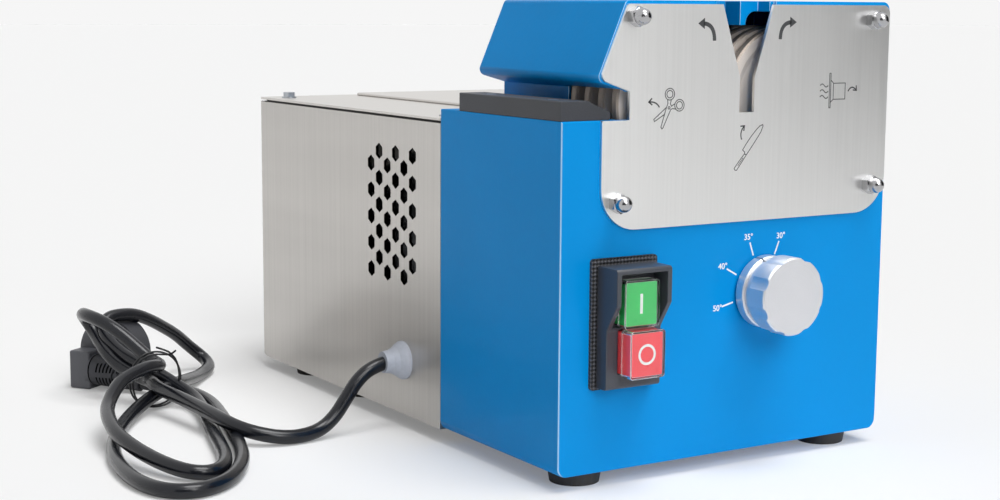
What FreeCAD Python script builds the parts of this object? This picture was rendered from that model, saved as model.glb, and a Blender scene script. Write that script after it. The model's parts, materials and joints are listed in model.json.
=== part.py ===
import FreeCAD, Part
import math
import os
from FreeCAD import Vector

# Electric knife and scissors sharpener with two sets of interleaved grinding discs.
# Millimetres. The build frame has X to the right, Y back from the blue front face and Z up from
# the underside of the casing. place() moves each piece to the part's own frame, whose origin is
# on the floor under the middle of the machine.

# Casing
body_width = 240.0
front_depth = 133.0
rear_depth = 272.0
body_height = 200.0
sheet = 2.0
bottom_corner = 6.0
rear_corner = 10.0
rear_bend = 5.0
rear_height = 191.4
lid_gap = 1.4
lid_thickness = 1.5
lid_panel_thickness = 2.0
lid_panel_left = -45.0
lid_panel_margin = 10.0
lid_panel_corner = 4.0
rail_width = 18.0
rail_drop = 16.0
base_thickness = 3.0
bulkhead_thickness = 4.0

# Hood
hood_top = 266.0
hood_setback = 5.5
hood_shoulder_x = -78.0
hood_tip = (-97.3, 221.6)
hood_tip_radius = 4.0
hood_under_z = 216.2
hood_top_corner = 5.0
hood_shoulder_radius = 3.0
window_margin = 2.5
window_front = 3.0
window_rim = 0.6
window_lip = 2.6
window_rise = 3.4

# Knife slot, seen on the front plate and carried through the hood
slot_x = 7.5
slot_width = 11.0
slot_reveal = 3.0
slot_floor = 202.0
vee_start = 222.6
vee_width = 37.6
pocket_depth = 12.7
pocket_drop = 6.0
channel_drop = 14.0
channel_floor = 225.0
step_reach = 2.5
arch_radius = 7.0

# Front plate
plate_thickness = 2.0
plate_top = 264.0
plate_bottom = 138.3
plate_right = 118.2
plate_left = -94.6
plate_shoulder_x = -77.9
plate_corner = 24.0
plate_top_corner = 5.0
plate_edge_top = 199.8
plate_tip_inset = (1.2, 1.0)
plate_reveal = 0.5
plate_shoulder_radius = 2.0
plate_edge_radius = 1.0
notch_x = -76.2
stud_radius = 3.0
stud_places = ((-73.3, 257.0), (104.0, 255.2), (105.1, 155.3), (-84.2, 153.9))
nut_flats = 10.0
nut_hex = 5.5
nut_dome_radius = 4.7
nut_height = 12.0
nut_bevel = 1.0
stud_head_radius = 5.4
stud_head = 2.0

# Scissor rest
rest_width = 33.0
rest_height = 11.0
rest_depth = 109.5
rest_flat = 17.5
rest_lip = 4.6
rest_front = 1.0
rest_edge = 0.7
rest_screw_radius = 3.0
rest_screw_head = 2.0
rest_screw_tail = 3.0
rest_screw_slot = 0.8

# Grinding discs and their spindles
disc_radius = 44.0
disc_gap = 0.75
disc_count = 4
disc_front = 7.0
rim_depth = 1.2
rim_edge = 0.9
disc_dish = 0.8
disc_land = 5.0
disc_slope = 3.0
knife_angle = 35.0
disc_headroom = 14.5
spindle_radius = 7.5
hub_radius = 12.0
collar_radius = 11.0
collar_length = 9.75
spindle_nut_flats = 24.0
spindle_nut_height = 4.0
bearing_radius = 17.5
bearing_width = 11.0
bearing_groove = 0.8
spindle_tail = 1.5
spindle_room = 2.5

# Carriages and guides
drive_room = 63.0
carriage_depth = 34.0
carriage_half_width = 30.0
carriage_crown = 21.5
carriage_foot = 11.0
rod_radius = 5.0
rod_drop = 30.0
rod_inset = 6.5
carriage_corner = 6.0
upright_thickness = 6.0
upright_overhang = 12.5
upright_gap = 3.5
upright_foot = 18.0

# Angle dial and scroll cam
dial_x = 24.8
dial_z = 95.6
dial_reach = 28.5
dial_radius = 23.0
dial_neck_radius = 20.0
dial_flange_radius = 21.65
dial_flange = (1.0, 8.6)
dial_neck_top = 14.2
dial_scallops = 8
dial_scallop_radius = 7.5
dial_scallop_depth = 1.3
dial_pointer_angle = 19.5
dial_pointer_width = 1.4
dial_chamfer = 0.9
dial_flange_chamfer = 0.9
dial_bore_depth = 20.0
dial_shaft_radius = 5.0
bush_radius = 8.0
bush_flange_radius = 13.0
bush_flange = 3.0
bush_length = 14.0
dial_steps = (-42.0, 84.0)
cam_radius = 34.0
cam_thickness = 6.0
cam_gap = 6.0
cam_hub_radius = 9.0
cam_pitch_radius = 22.0
cam_rise = 1.2
follower_radius = 3.0
tail_thickness = 6.0
tail_half_width = 6.5
tail_corner = 3.0

# Drive
gear_teeth = 42
gear_module = 2.0
gear_width = 12.0
gear_gap = 3.0
gear_backlash = 0.3
drive_z = 95.0
drive_shaft_radius = 7.0
drive_bearing_radius = 14.0
bearing_plate_thickness = 8.0
bearing_plate_gap = 2.0
bearing_plate_top = 150.0
bearing_flange_radius = 24.0
bearing_flange_width = 8.0
shaft_room = 1.0
wire_hole_radius = 8.0
wire_hole_inset = 30.0
wire_hole_z = 36.0
pulley_radius = 20.0
pulley_flange_radius = 24.5
pulley_flange = 1.5
belt_width = 9.4
belt_thickness = 3.0
pulley_gap = 2.0
pulley_slot = 10.0

# Motor
motor_radius = 63.0
motor_wall = 6.0
motor_length = 140.0
shield_thickness = 17.0
rotor_radius = 35.4
air_gap = 0.6
core_inset = 15.0
core_length = 110.0
rear_shield = 14.0
fan_radius = 52.0
fan_width = 14.0
fan_blades = 9
motor_bolt_radius = 4.0
motor_bolt_circle = 44.0
motor_bolt_head = 5.0
motor_bolt_flats = 13.0
motor_fins = 24
fin_height = 4.0
fin_thickness = 2.0
winding_gap = 2.0
fan_plate = 2.0
fan_gap = 2.0
capacitor_radius = 20.0
capacitor_length = 92.0
capacitor_inset = 44.0
capacitor_front = 170.0
capacitor_edge = 2.0
capacitor_pin_radius = 2.0
capacitor_pin_pitch = 14.0
capacitor_pin = 8.0
terminal_width = 14.0
terminal_height = 22.0
terminal_pitch = 12.0
terminal_count = 4
terminal_screw_radius = 2.6
terminal_wire_radius = 2.0
terminal_depth = 8.0
terminal_wire_depth = 5.0
terminal_gap = 20.0

# Switch
switch_x = -77.6
switch_z = 86.0
gasket_width = 45.2
gasket_height = 74.5
gasket_thickness = 2.0
cowl_width = 37.5
cowl_bottom = 50.0
cowl_crown = 119.5
cowl_reach = 21.5
cowl_low_reach = 11.7
cowl_break_low = 84.0
cowl_break_high = 99.0
cowl_wall = 3.0
cowl_edge = 2.0
cowl_floor = 8.0
cutout_width = 30.0
cutout_height = 60.0
block_depth = 40.0
block_front = 4.0
button_width = 21.0
button_height = 24.4
green_z = 99.0
red_z = 71.3
green_reach = 18.0
red_reach = 24.0
button_travel = 3.0
boot_wall = 1.2
boot_gap = 0.15
boot_rear = 12.2
red_boot_rear = 16.0
spring_radius = 3.4
spring_wire = 0.45
spring_depth = 6.0
spring_turns = 6
button_corner = 1.0
boot_corner = 2.0

# Feet
foot_height = 9.0
foot_radius = 16.0
foot_taper = 1.5
foot_inset = 26.0
foot_front = 22.0
foot_middle = 149.0
foot_back = 41.0
foot_recess_radius = 6.0
foot_recess = 4.0

# Vents on both steel sides
vent_columns = 6
vent_rows = 5
vent_pitch_y = 11.25
vent_pitch_z = 17.5
vent_first_y = 168.5
vent_top_z = 168.4
vent_stagger = 8.6
vent_flats = 9.2

# Screws
screw_radius = 2.5
screw_flats = 8.0
screw_head = 3.2
washer_radius = 5.5
washer = 0.8
lid_screw_tail = 6.0
foot_screw_head_radius = 4.75
foot_screw_sink = 1.0
foot_screw_tail = 5.0
foot_nut = 4.0

# Gland, cord and plug; the cord's places are in the part's own frame, with heights over the floor
cord_radius = 4.5
gland_y = 181.0
gland_z = 35.6
gland_neck_radius = 8.0
gland_tail = 4.0
gland_profile = ((0.0, 12.5), (1.5, 12.5), (3.5, 11.4), (6.5, 9.2), (10.0, 7.6), (15.0, 6.9))
cord_route = (
    (-131.0, -7.25, 44.6),
    (-143.0, -7.3, 42.4),
    (-153.5, -7.4, 34.8),
    (-161.3, -7.7, 24.4),
    (-169.4, -8.2, 13.6),
    (-180.0, -9.2, 6.4),
    (-193.4, -11.3, 4.6),
    (-206.4, -11.2, 5.2),
    (-218.6, -7.2, 7.6),
    (-228.2, 1.6, 10.4),
    (-233.6, 14.2, 13.0),
    (-235.8, 32.2, 14.8),
    (-237.4, 58.0, 15.6),
    (-240.2, 84.0, 16.6),
    (-243.6, 106.0, 17.5),
)
arc_share = 0.45
knot_start = (-253.0, 100.0, 19.0)
knot_heading = 60.0
knot_radius = 17.0
knot_length = 46.0
tie_wire = 1.2
tie_width = 3.0
lower_lobe = ((-204.0, 142.0), (-240.0, -38.0, 60.0), (-262.0, -104.0, 34.0), (-334.0, -92.0, 34.0),
              (-322.0, 2.0, 60.0), (-262.0, 118.0, 8.0))
lower_lobe_hole = ((-226.0, 102.0), (-246.0, 4.0), (-262.0, -36.0, 20.0), (-282.0, -56.0, 10.0),
                   (-294.0, -36.0, 15.0), (-298.0, 12.0, 30.0), (-272.0, 84.0, 10.0))
upper_lobe_start = (-236.0, 137.0, 24.0)
upper_lobe_tilt = 33.6
upper_lobe = ((-8.0, -14.0), (50.0, -29.0, 30.0), (132.0, -28.0, 14.0), (134.0, 2.0, 14.0),
              (70.0, 46.0, 40.0), (34.0, 74.0, 14.0), (8.0, 66.0, 14.0), (-14.0, 10.0, 8.0))
upper_lobe_hole = ((40.0, -12.0), (112.0, -14.0), (66.0, 28.0), (40.0, 44.0), (22.0, 38.0))
lobe_thickness = 9.2
lobe_lift = 0.4
plug_place = (-270.0, 213.0, 0.4)
plug_heading = -55.0
plug_block_length = 17.0
plug_block_depth = 16.0
plug_block_height = 27.0
plug_edge = 1.5
plug_neck_start = 15.0
plug_neck_end = 56.0
plug_neck_radius = 11.0
plug_neck_tip_radius = 6.0
plug_neck_tip_height = 7.0
plug_ribs = 5
plug_rib_depth = 1.2
plug_rib_width = 1.4
plug_disc_radius = 24.5
plug_disc_thickness = 16.0
plug_disc_place = (24.0, 14.0, 25.0)
pin_radius = 2.4
pin_length = 19.0
pin_root = 10.0
pin_pitch = 19.0

# Fits
seat_clearance = 0.02
running_clearance = 0.05
slide_clearance = 0.3
overshoot = 1.0
hex_turn = 30.0

# Shared places
half_width = body_width / 2
rear_y = front_depth + rear_depth
floor_top = sheet + base_thickness
foot_rows = (foot_front, front_depth + foot_middle, rear_y - foot_back)
hood_depth = front_depth - hood_setback
carriage_front = front_depth - drive_room
disc_pitch = (carriage_front - collar_length - disc_front + disc_gap) / disc_count
disc_thickness = disc_pitch / 2 - disc_gap
window_back = disc_front + (disc_count - 1) * disc_pitch + disc_thickness + window_margin
spindle_z = hood_top - disc_radius - disc_headroom
half_spacing = disc_radius * math.cos(math.radians(knife_angle / 2))
spindle_xs = {"left": slot_x - half_spacing, "right": slot_x + half_spacing}
disc_fronts = {"left": disc_front, "right": disc_front + disc_pitch / 2}
carriage_back = carriage_front + carriage_depth
rod_z = spindle_z - rod_drop
rod_ys = (carriage_front + rod_inset, carriage_back - rod_inset)
tail_back = carriage_front + tail_thickness
bearing_plate_front = tail_back + bearing_plate_gap
bearing_plate_back = bearing_plate_front + bearing_plate_thickness
cam_back = carriage_front - cam_gap
cam_front = cam_back - cam_thickness
gear_front = bearing_plate_back + gear_gap
gear_back = gear_front + gear_width
gear_radius = gear_teeth * gear_module / 2
drive_xs = {"left": slot_x - gear_radius, "right": slot_x + gear_radius}
pulley_front = carriage_back + pulley_gap
pulley_back = pulley_front + pulley_slot + 2 * pulley_flange
bulkhead_front = front_depth - bulkhead_thickness
left_upright_x = drive_xs["left"] - gear_radius - gear_module - upright_gap
right_upright_x = drive_xs["right"] + gear_radius + gear_module + upright_gap
lid_bottom = rear_height + lid_gap
lid_top = lid_bottom + lid_thickness
motor_front = front_depth + shield_thickness
capacitor_x = half_width - capacitor_inset
motor_back = motor_front + motor_length
place_shift = Vector(0, (dial_reach - rear_y) / 2, foot_height)
follower_xs = {"left": dial_x - cam_pitch_radius, "right": dial_x + cam_pitch_radius}

nodes = {}


def box(x0, x1, y0, y1, z0, z1):
    return Part.makeBox(x1 - x0, y1 - y0, z1 - z0, Vector(x0, y0, z0))


def rod_x(radius, y, z, x0, x1):
    return Part.makeCylinder(radius, x1 - x0, Vector(x0, y, z), Vector(1, 0, 0))


def rod_y(radius, x, z, y0, y1):
    return Part.makeCylinder(radius, y1 - y0, Vector(x, y0, z), Vector(0, 1, 0))


def rod_z_axis(radius, x, y, z0, z1):
    return Part.makeCylinder(radius, z1 - z0, Vector(x, y, z0), Vector(0, 0, 1))


def ring_y(outer, inner, x, z, y0, y1):
    return rod_y(outer, x, z, y0, y1).cut(rod_y(inner, x, z, y0, y1))


def rounded_wire(corners, lift):
    """Closed wire through (u, v) or (u, v, radius) corners; lift maps (u, v) to a point."""
    starts, ends, edges = [], [], []
    count = len(corners)
    for index, corner in enumerate(corners):
        here = Vector(corner[0], corner[1], 0)
        radius = corner[2] if len(corner) > 2 else 0
        if not radius:
            starts.append(here)
            ends.append(here)
            continue
        before = Vector(*corners[index - 1][:2], 0)
        after = Vector(*corners[(index + 1) % count][:2], 0)
        back = (before - here).normalize()
        ahead = (after - here).normalize()
        half = math.acos(max(-1.0, min(1.0, back.dot(ahead)))) / 2
        reach = radius / math.tan(half)
        inward = (back + ahead).normalize()
        middle = here + inward * (radius / math.sin(half) - radius)
        starts.append(here + back * reach)
        ends.append(here + ahead * reach)
        points = [lift(p.x, p.y) for p in (starts[-1], middle, ends[-1])]
        edges.append((index, Part.Arc(*points).toShape()))
    arcs = dict(edges)
    path = []
    for index in range(count):
        if index in arcs:
            path.append(arcs[index])
        a, b = ends[index], starts[(index + 1) % count]
        if a.distanceToPoint(b) > 1e-6:
            path.append(Part.LineSegment(lift(a.x, a.y), lift(b.x, b.y)).toShape())
    return Part.Wire(path)


def plate_xz(corners, y0, y1):
    wire = rounded_wire(corners, lambda u, v: Vector(u, y0, v))
    return Part.Face(wire).extrude(Vector(0, y1 - y0, 0))


def plate_yz(corners, x0, x1):
    wire = rounded_wire(corners, lambda u, v: Vector(x0, u, v))
    return Part.Face(wire).extrude(Vector(x1 - x0, 0, 0))


def plate_xy(corners, z0, z1):
    wire = rounded_wire(corners, lambda u, v: Vector(u, v, z0))
    return Part.Face(wire).extrude(Vector(0, 0, z1 - z0))


def rectangle(u0, u1, v0, v1, radius=0):
    return [(u0, v0, radius), (u1, v0, radius), (u1, v1, radius), (u0, v1, radius)]


def hexagon(u, v, flats, turn=0.0):
    corner = flats / math.sqrt(3)
    angles = [math.radians(turn + 60 * i) for i in range(6)]
    return [(u + corner * math.cos(a), v + corner * math.sin(a)) for a in angles]


def turned_y(profile, x, z):
    """Solid of revolution about a line along Y; profile holds (y, radius) corners."""
    points = [Vector(x + r, y, z) for y, r in profile]
    face = Part.Face(Part.makePolygon(points + points[:1]))
    return face.revolve(Vector(x, 0, z), Vector(0, 1, 0), 360)


def turned_x(profile, y, z):
    """Solid of revolution about a line along X; profile holds (x, radius) corners."""
    points = [Vector(x, y, z + r) for x, r in profile]
    face = Part.Face(Part.makePolygon(points + points[:1]))
    return face.revolve(Vector(0, y, z), Vector(1, 0, 0), 360)


def joined(shapes):
    first, rest = shapes[0], shapes[1:]
    return first.multiFuse(rest).removeSplitter() if rest else first


def cut_all(shape, tools):
    return shape.cut(Part.makeCompound(tools))


def group(solids):
    return Part.makeCompound(solids)


def plate_outline():
    """Front plate outline from the top left corner."""
    top = plate_top
    return [
        (plate_shoulder_x, top, plate_shoulder_radius),
        (hood_tip[0] + plate_tip_inset[0], hood_tip[1] + plate_tip_inset[1], hood_tip_radius),
        (notch_x, hood_under_z - plate_reveal),
        (notch_x, plate_edge_top),
        (plate_left, plate_edge_top, plate_edge_radius),
        (plate_left, plate_bottom, plate_corner),
        (plate_right, plate_bottom, plate_corner),
        (plate_right, top, plate_top_corner),
        (slot_x + vee_width / 2, top),
        (slot_x + slot_width / 2, vee_start),
        (slot_x + slot_width / 2, slot_floor),
        (slot_x - slot_width / 2, slot_floor),
        (slot_x - slot_width / 2, vee_start),
        (slot_x - vee_width / 2, top),
    ]


def hood_outline(inset):
    """Hood section, a closed outline from its left foot; inset gives the inside of the sheet."""
    slope = Vector(hood_shoulder_x - hood_tip[0], 0, hood_top - hood_tip[1]).normalize()
    under = Vector(hood_shoulder_x - hood_tip[0], 0, hood_under_z - hood_tip[1]).normalize()
    half = math.acos(slope.dot(under)) / 2
    tip_inset = inset / math.sin(half)
    inward = (slope + under).normalize()
    top_half = math.atan2(slope.z, slope.x) / 2
    return [
        (hood_shoulder_x + inset, body_height),
        (hood_shoulder_x + inset, hood_under_z + inset * (1 + under.z) / under.x),
        (hood_tip[0] + inward.x * tip_inset, hood_tip[1] + inward.z * tip_inset, hood_tip_radius - inset),
        (hood_shoulder_x + inset * math.tan(top_half), hood_top - inset, hood_shoulder_radius),
        (half_width - inset, hood_top - inset, hood_top_corner - inset),
        (half_width - inset, body_height),
    ]


def build_front_housing():
    outer = rectangle(-half_width, half_width, 0, body_height)
    outer[0] = outer[0][:2] + (bottom_corner,)
    outer[1] = outer[1][:2] + (bottom_corner,)
    inner = rectangle(-half_width + sheet, half_width - sheet, sheet, body_height - sheet)
    inner[0] = inner[0][:2] + (bottom_corner - sheet,)
    inner[1] = inner[1][:2] + (bottom_corner - sheet,)
    shell = plate_xz(outer, 0, front_depth).cut(plate_xz(inner, sheet, front_depth))
    disc_reach = spindle_xs["left"] - disc_radius - rim_edge - slide_clearance - cam_rise
    cuts = [
        box(hood_shoulder_x + sheet, half_width - sheet, sheet, hood_depth - sheet,
            body_height - sheet, hood_top),
        box(disc_reach, hood_shoulder_x + sheet, sheet, hood_depth - sheet, body_height - sheet, hood_top),
        rod_y(bush_radius + seat_clearance, dial_x, dial_z, 0, sheet),
        plate_xz(switch_cutout(), 0, sheet),
    ]
    for x, z in stud_places:
        cuts.append(rod_y(stud_radius + seat_clearance, x, z, 0, sheet))
    for x, y in foot_places():
        if y < front_depth:
            cuts.append(rod_z_axis(screw_radius + seat_clearance, x, y, 0, sheet))
    for x, y in rest_screw_places():
        shank = rest_screw_radius / 2 + seat_clearance
        cuts.append(rod_z_axis(shank, x, y, body_height - sheet, body_height))
    ledge = box(disc_reach, hood_shoulder_x + sheet, window_back, hood_depth - sheet,
                body_height - sheet, body_height)
    return group([cut_all(shell, cuts), ledge])


def switch_cutout(margin=0.0):
    u, v = cutout_width / 2 - margin, cutout_height / 2 - margin
    return rectangle(switch_x - u, switch_x + u, switch_z - v, switch_z + v)


def foot_places():
    return [(side * (half_width - foot_inset), y) for y in foot_rows for side in (-1, 1)]


def rest_screw_places():
    x = -half_width + rest_flat / 2
    return [(x, rest_depth * share) for share in (0.2, 0.8)]


def build_upper_hood():
    outer = plate_xz(hood_outline(0), 0, hood_depth)
    inner = plate_xz(hood_outline(sheet), sheet, hood_depth - sheet)
    below = box(hood_shoulder_x + sheet, half_width - sheet, sheet, hood_depth - sheet,
                body_height - overshoot, body_height + overshoot)
    shell = outer.cut(inner).cut(below)
    pocket_half = vee_width / 2
    channel_half = slot_width / 2
    top = hood_top
    # Sheet edges turned down beside the slot: a wide pocket in front, a narrow channel behind
    flanges = []
    for side in (-1, 1):
        near, far = sorted((slot_x + side * pocket_half, slot_x + side * (pocket_half + sheet)))
        flanges.append(box(near, far, sheet, pocket_depth + sheet, top - pocket_drop, top - sheet))
        near, far = sorted((slot_x + side * channel_half, slot_x + side * (channel_half + sheet)))
        flanges.append(box(near, far, pocket_depth, hood_depth - sheet, top - channel_drop, top - sheet))
        inner_x = slot_x + side * channel_half
        outer_x = slot_x + side * (pocket_half + sheet)
        foot_x = slot_x + side * (channel_half + sheet + step_reach)
        step = [
            (inner_x, top - sheet),
            (inner_x, top - channel_drop),
            (foot_x, top - channel_drop),
            (foot_x, top - pocket_drop, arch_radius),
            (outer_x, top - pocket_drop),
            (outer_x, top - sheet),
        ]
        flanges.append(plate_xz(step, pocket_depth, pocket_depth + sheet))
    shell = joined([shell] + flanges)
    wide, narrow = pocket_half + slot_reveal, channel_half + slot_reveal
    vee = [
        (slot_x - wide, top + overshoot), (slot_x - wide, plate_top),
        (slot_x - narrow, vee_start), (slot_x - narrow, body_height - overshoot),
        (slot_x + narrow, body_height - overshoot), (slot_x + narrow, vee_start),
        (slot_x + wide, plate_top), (slot_x + wide, top + overshoot),
    ]
    window_top = hood_under_z - window_rim
    flank = box(hood_shoulder_x - window_lip, hood_shoulder_x + sheet, sheet, hood_depth,
                body_height, hood_under_z + window_rise)
    wall = shell.common(flank).cut(box(-half_width, half_width, 0, window_back, 0, hood_top))
    cuts = [
        plate_xz(vee, 0, sheet),
        box(slot_x - pocket_half, slot_x + pocket_half, 0, pocket_depth, top - sheet, top + overshoot),
        box(slot_x - channel_half, slot_x + channel_half, 0, hood_depth, top - sheet, top + overshoot),
        box(slot_x - channel_half, slot_x + channel_half, hood_depth - sheet, hood_depth,
            channel_floor, top + overshoot),
        flank,
        box(hood_shoulder_x, notch_x + slot_reveal, 0, window_front, body_height, window_top),
    ]
    for x, z in stud_places:
        cuts.append(rod_y(stud_radius + seat_clearance, x, z, 0, sheet))
    return group([cut_all(shell, cuts), wall])


def build_front_plate():
    plate = plate_xz(plate_outline(), -plate_thickness, 0)
    holes = [rod_y(stud_radius + seat_clearance, x, z, -plate_thickness, 0) for x, z in stud_places]
    return cut_all(plate, holes)


def build_plate_fasteners():
    studs, nuts = [], []
    nut_front = -plate_thickness - nut_height
    hex_front = -plate_thickness - nut_hex
    for x, z in stud_places:
        stud = rod_y(stud_radius, x, z, hex_front, sheet)
        head = rod_y(stud_head_radius, x, z, sheet, sheet + stud_head)
        studs.append(joined([stud, head]))
        hexagonal = plate_xz(hexagon(x, z, nut_flats, hex_turn), hex_front, -plate_thickness)
        corner = nut_flats / math.sqrt(3)
        bevel = turned_y([(hex_front, 0), (hex_front, corner - nut_bevel), (hex_front + nut_bevel, corner),
                          (-plate_thickness, corner), (-plate_thickness, 0)], x, z)
        tip = rod_y(nut_dome_radius, x, z, nut_front + nut_dome_radius, hex_front)
        dome = Part.makeSphere(nut_dome_radius, Vector(x, nut_front + nut_dome_radius, z))
        nut = joined([hexagonal.common(bevel), tip, dome])
        nuts.append(nut.cut(rod_y(stud_radius + seat_clearance, x, z, hex_front, -plate_thickness)))
    return studs, group(nuts)


def build_scissor_rest():
    left = -half_width
    section = [
        (left, body_height, rest_edge), (left, body_height + rest_height, rest_edge),
        (left + rest_flat, body_height + rest_height), (left + rest_width, body_height + rest_lip, rest_edge),
        (left + rest_width, body_height),
    ]
    bar = plate_xz(section, rest_front, rest_front + rest_depth)
    screws = []
    for x, y in rest_screw_places():
        top = body_height + rest_height
        shank = rest_screw_radius / 2
        sink = Vector(x, y, top - rest_screw_head)
        cone = Part.makeCone(shank, rest_screw_radius, rest_screw_head, sink)
        hole = Part.makeCone(shank + seat_clearance, rest_screw_radius + seat_clearance,
                             rest_screw_head, sink)
        bar = bar.cut(hole).cut(rod_z_axis(shank + seat_clearance, x, y, body_height, top))
        screw = joined([cone, rod_z_axis(shank, x, y, body_height - sheet - rest_screw_tail,
                                          top - rest_screw_head / 2)])
        reach, half = rest_screw_radius, rest_screw_slot / 2
        screws.append(screw.cut(box(x - reach, x + reach, y - half, y + half, top - half, top + half)))
    return bar, screws


def vent_places():
    places = []
    for column in range(vent_columns):
        top = vent_top_z - (vent_stagger if column % 2 else 0)
        for row in range(vent_rows):
            places.append((vent_first_y + column * vent_pitch_y, top - row * vent_pitch_z))
    return places


def build_rear_cover():
    w = half_width
    outer = plate_xy([(-w, front_depth), (w, front_depth), (w, rear_y, rear_bend), (-w, rear_y, rear_bend)],
                     0, rear_height)
    bend = rear_bend - sheet
    inner = plate_xy([(-w + sheet, front_depth), (w - sheet, front_depth),
                      (w - sheet, rear_y - sheet, bend), (-w + sheet, rear_y - sheet, bend)],
                     sheet, rear_height)
    profile = [(front_depth, 0), (rear_y, 0, rear_corner), (rear_y, rear_height), (front_depth, rear_height)]
    shell = outer.common(plate_yz(profile, -w, w)).cut(
        inner.common(plate_yz([(front_depth, sheet), (rear_y - sheet, sheet, rear_corner - sheet),
                               (rear_y - sheet, rear_height), (front_depth, rear_height)], -w, w)))
    cuts = [gland_hole()]
    for y, z in vent_places():
        hexagonal = hexagon(y, z, vent_flats, hex_turn)
        cuts.append(plate_yz(hexagonal, -w, -w + sheet))
        cuts.append(plate_yz(hexagonal, w - sheet, w))
    for x, y in foot_places():
        if y > front_depth:
            cuts.append(rod_z_axis(screw_radius + seat_clearance, x, y, 0, sheet))
    cuts += [lid_screw_hole(x, y) for x, y in lid_screw_places()]
    return cut_all(joined([shell] + lid_rails()), cuts)


def lid_screw_places():
    inset = sheet + rail_width * 0.75
    return [(side * (half_width - inset), y) for side in (-1, 1)
            for y in (front_depth + rail_width, rear_y - rail_width - sheet)]


def build_lid():
    w = half_width
    lid = plate_xy([(-w, front_depth), (w, front_depth), (w, rear_y, rear_bend), (-w, rear_y, rear_bend)],
                   lid_bottom, lid_top)
    outline = rectangle(lid_panel_left, w - 2 * rail_width, front_depth + lid_panel_margin,
                        rear_y - lid_panel_margin, lid_panel_corner)
    panel = plate_xy(outline, lid_top, lid_top + lid_panel_thickness)
    screws, holes = [], []
    for x, y in lid_screw_places():
        shank = rod_z_axis(screw_radius, x, y, lid_bottom - sheet - lid_screw_tail, lid_top)
        seat = rod_z_axis(washer_radius, x, y, lid_top, lid_top + washer)
        head = plate_xy(hexagon(x, y, screw_flats), lid_top + washer, lid_top + washer + screw_head)
        screws.append(joined([shank, seat, head]))
        holes.append(lid_screw_hole(x, y))
    return cut_all(lid, holes), panel, screws


def lid_screw_hole(x, y):
    return rod_z_axis(screw_radius + seat_clearance, x, y, lid_bottom - sheet, lid_top)


def lid_rails():
    """Ledges folded in along the top of both steel sides, which carry the lid."""
    rails = []
    for side in (-1, 1):
        outer, inner = side * (half_width - sheet), side * (half_width - sheet - rail_width)
        x0, x1 = sorted((outer, inner))
        flat = box(x0, x1, front_depth, rear_y - rear_corner, lid_bottom - sheet, lid_bottom)
        x0, x1 = sorted((outer, outer - side * sheet))
        drop = box(x0, x1, front_depth, rear_y - rear_corner, rear_height - rail_drop, lid_bottom - sheet)
        rails += [flat, drop]
    return rails


def gland_hole():
    return rod_x(gland_neck_radius + seat_clearance, gland_y, gland_z, -half_width, -half_width + sheet)


def build_base():
    w = half_width - bottom_corner
    back = rear_y - rear_corner
    base = box(-w, w, sheet, back, sheet, floor_top)
    holes = [rod_z_axis(screw_radius + seat_clearance, x, y, sheet, floor_top) for x, y in foot_places()]
    return cut_all(base, holes)


def build_feet():
    feet, screws = [], []
    for x, y in foot_places():
        foot = Part.makeCone(foot_radius - foot_taper, foot_radius, foot_height,
                             Vector(x, y, -foot_height), Vector(0, 0, 1))
        hole = rod_z_axis(screw_radius + seat_clearance, x, y, -foot_height, 0)
        recess = rod_z_axis(foot_recess_radius, x, y, -foot_height, -foot_height + foot_recess)
        feet.append(foot.cut(hole).cut(recess))
        shank = rod_z_axis(screw_radius, x, y, -foot_height + foot_recess, floor_top + foot_screw_tail)
        head = rod_z_axis(foot_screw_head_radius, x, y, -foot_height + foot_screw_sink,
                          -foot_height + foot_recess)
        nut = plate_xy(hexagon(x, y, screw_flats), floor_top, floor_top + foot_nut)
        screws.append(joined([shank, head, nut]))
    return group(feet), screws


def build_bulkhead():
    w = half_width - sheet - slide_clearance
    plate = box(-w, w, bulkhead_front, front_depth, floor_top, body_height - sheet)
    holes = [
        rod_y(drive_shaft_radius * 2, drive_xs["left"], drive_z, bulkhead_front, front_depth),
        rod_y(drive_shaft_radius + shaft_room, drive_xs["right"], drive_z, bulkhead_front, front_depth),
        rod_y(drive_bearing_radius + seat_clearance, drive_xs["right"], drive_z,
              bulkhead_front - bearing_flange_width, bulkhead_front),
        rod_y(wire_hole_radius, -w + wire_hole_inset, wire_hole_z, bulkhead_front, front_depth),
    ]
    for x, z in motor_bolt_places():
        holes.append(rod_y(motor_bolt_radius + seat_clearance, x, z, bulkhead_front, front_depth))
    flange = rod_y(bearing_flange_radius, drive_xs["right"], drive_z,
                   bulkhead_front - bearing_flange_width, bulkhead_front)
    return cut_all(joined([plate, flange]), holes)


def build_drive_frame():
    """Two uprights for the guide rods, welded to the plate that carries the shaft ends."""
    front, back = carriage_front + bearing_plate_gap, carriage_back
    top = rod_z + upright_overhang
    pieces, holes = [], []
    for x, side in ((left_upright_x, -1), (right_upright_x, 1)):
        x0, x1 = sorted((x, x + side * upright_thickness))
        pieces.append(box(x0, x1, front, back, floor_top, top))
        x0, x1 = sorted((x, x + side * upright_foot))
        pieces.append(box(x0, x1, front, back, floor_top, floor_top + upright_thickness))
    pieces.append(box(left_upright_x, right_upright_x, bearing_plate_front, bearing_plate_back,
                      floor_top, bearing_plate_top))
    ends = (left_upright_x - upright_thickness, right_upright_x + upright_thickness)
    for y in rod_ys:
        holes.append(rod_x(rod_radius + seat_clearance, y, rod_z, *ends))
    for x in drive_xs.values():
        holes.append(rod_y(drive_bearing_radius + seat_clearance, x, drive_z,
                           bearing_plate_front, bearing_plate_back))
    holes.append(rod_y(dial_shaft_radius + running_clearance, dial_x, dial_z,
                       bearing_plate_front, bearing_plate_back))
    rods = [rod_x(rod_radius, y, rod_z, *ends) for y in rod_ys]
    return cut_all(joined(pieces), holes), group(rods)


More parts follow.
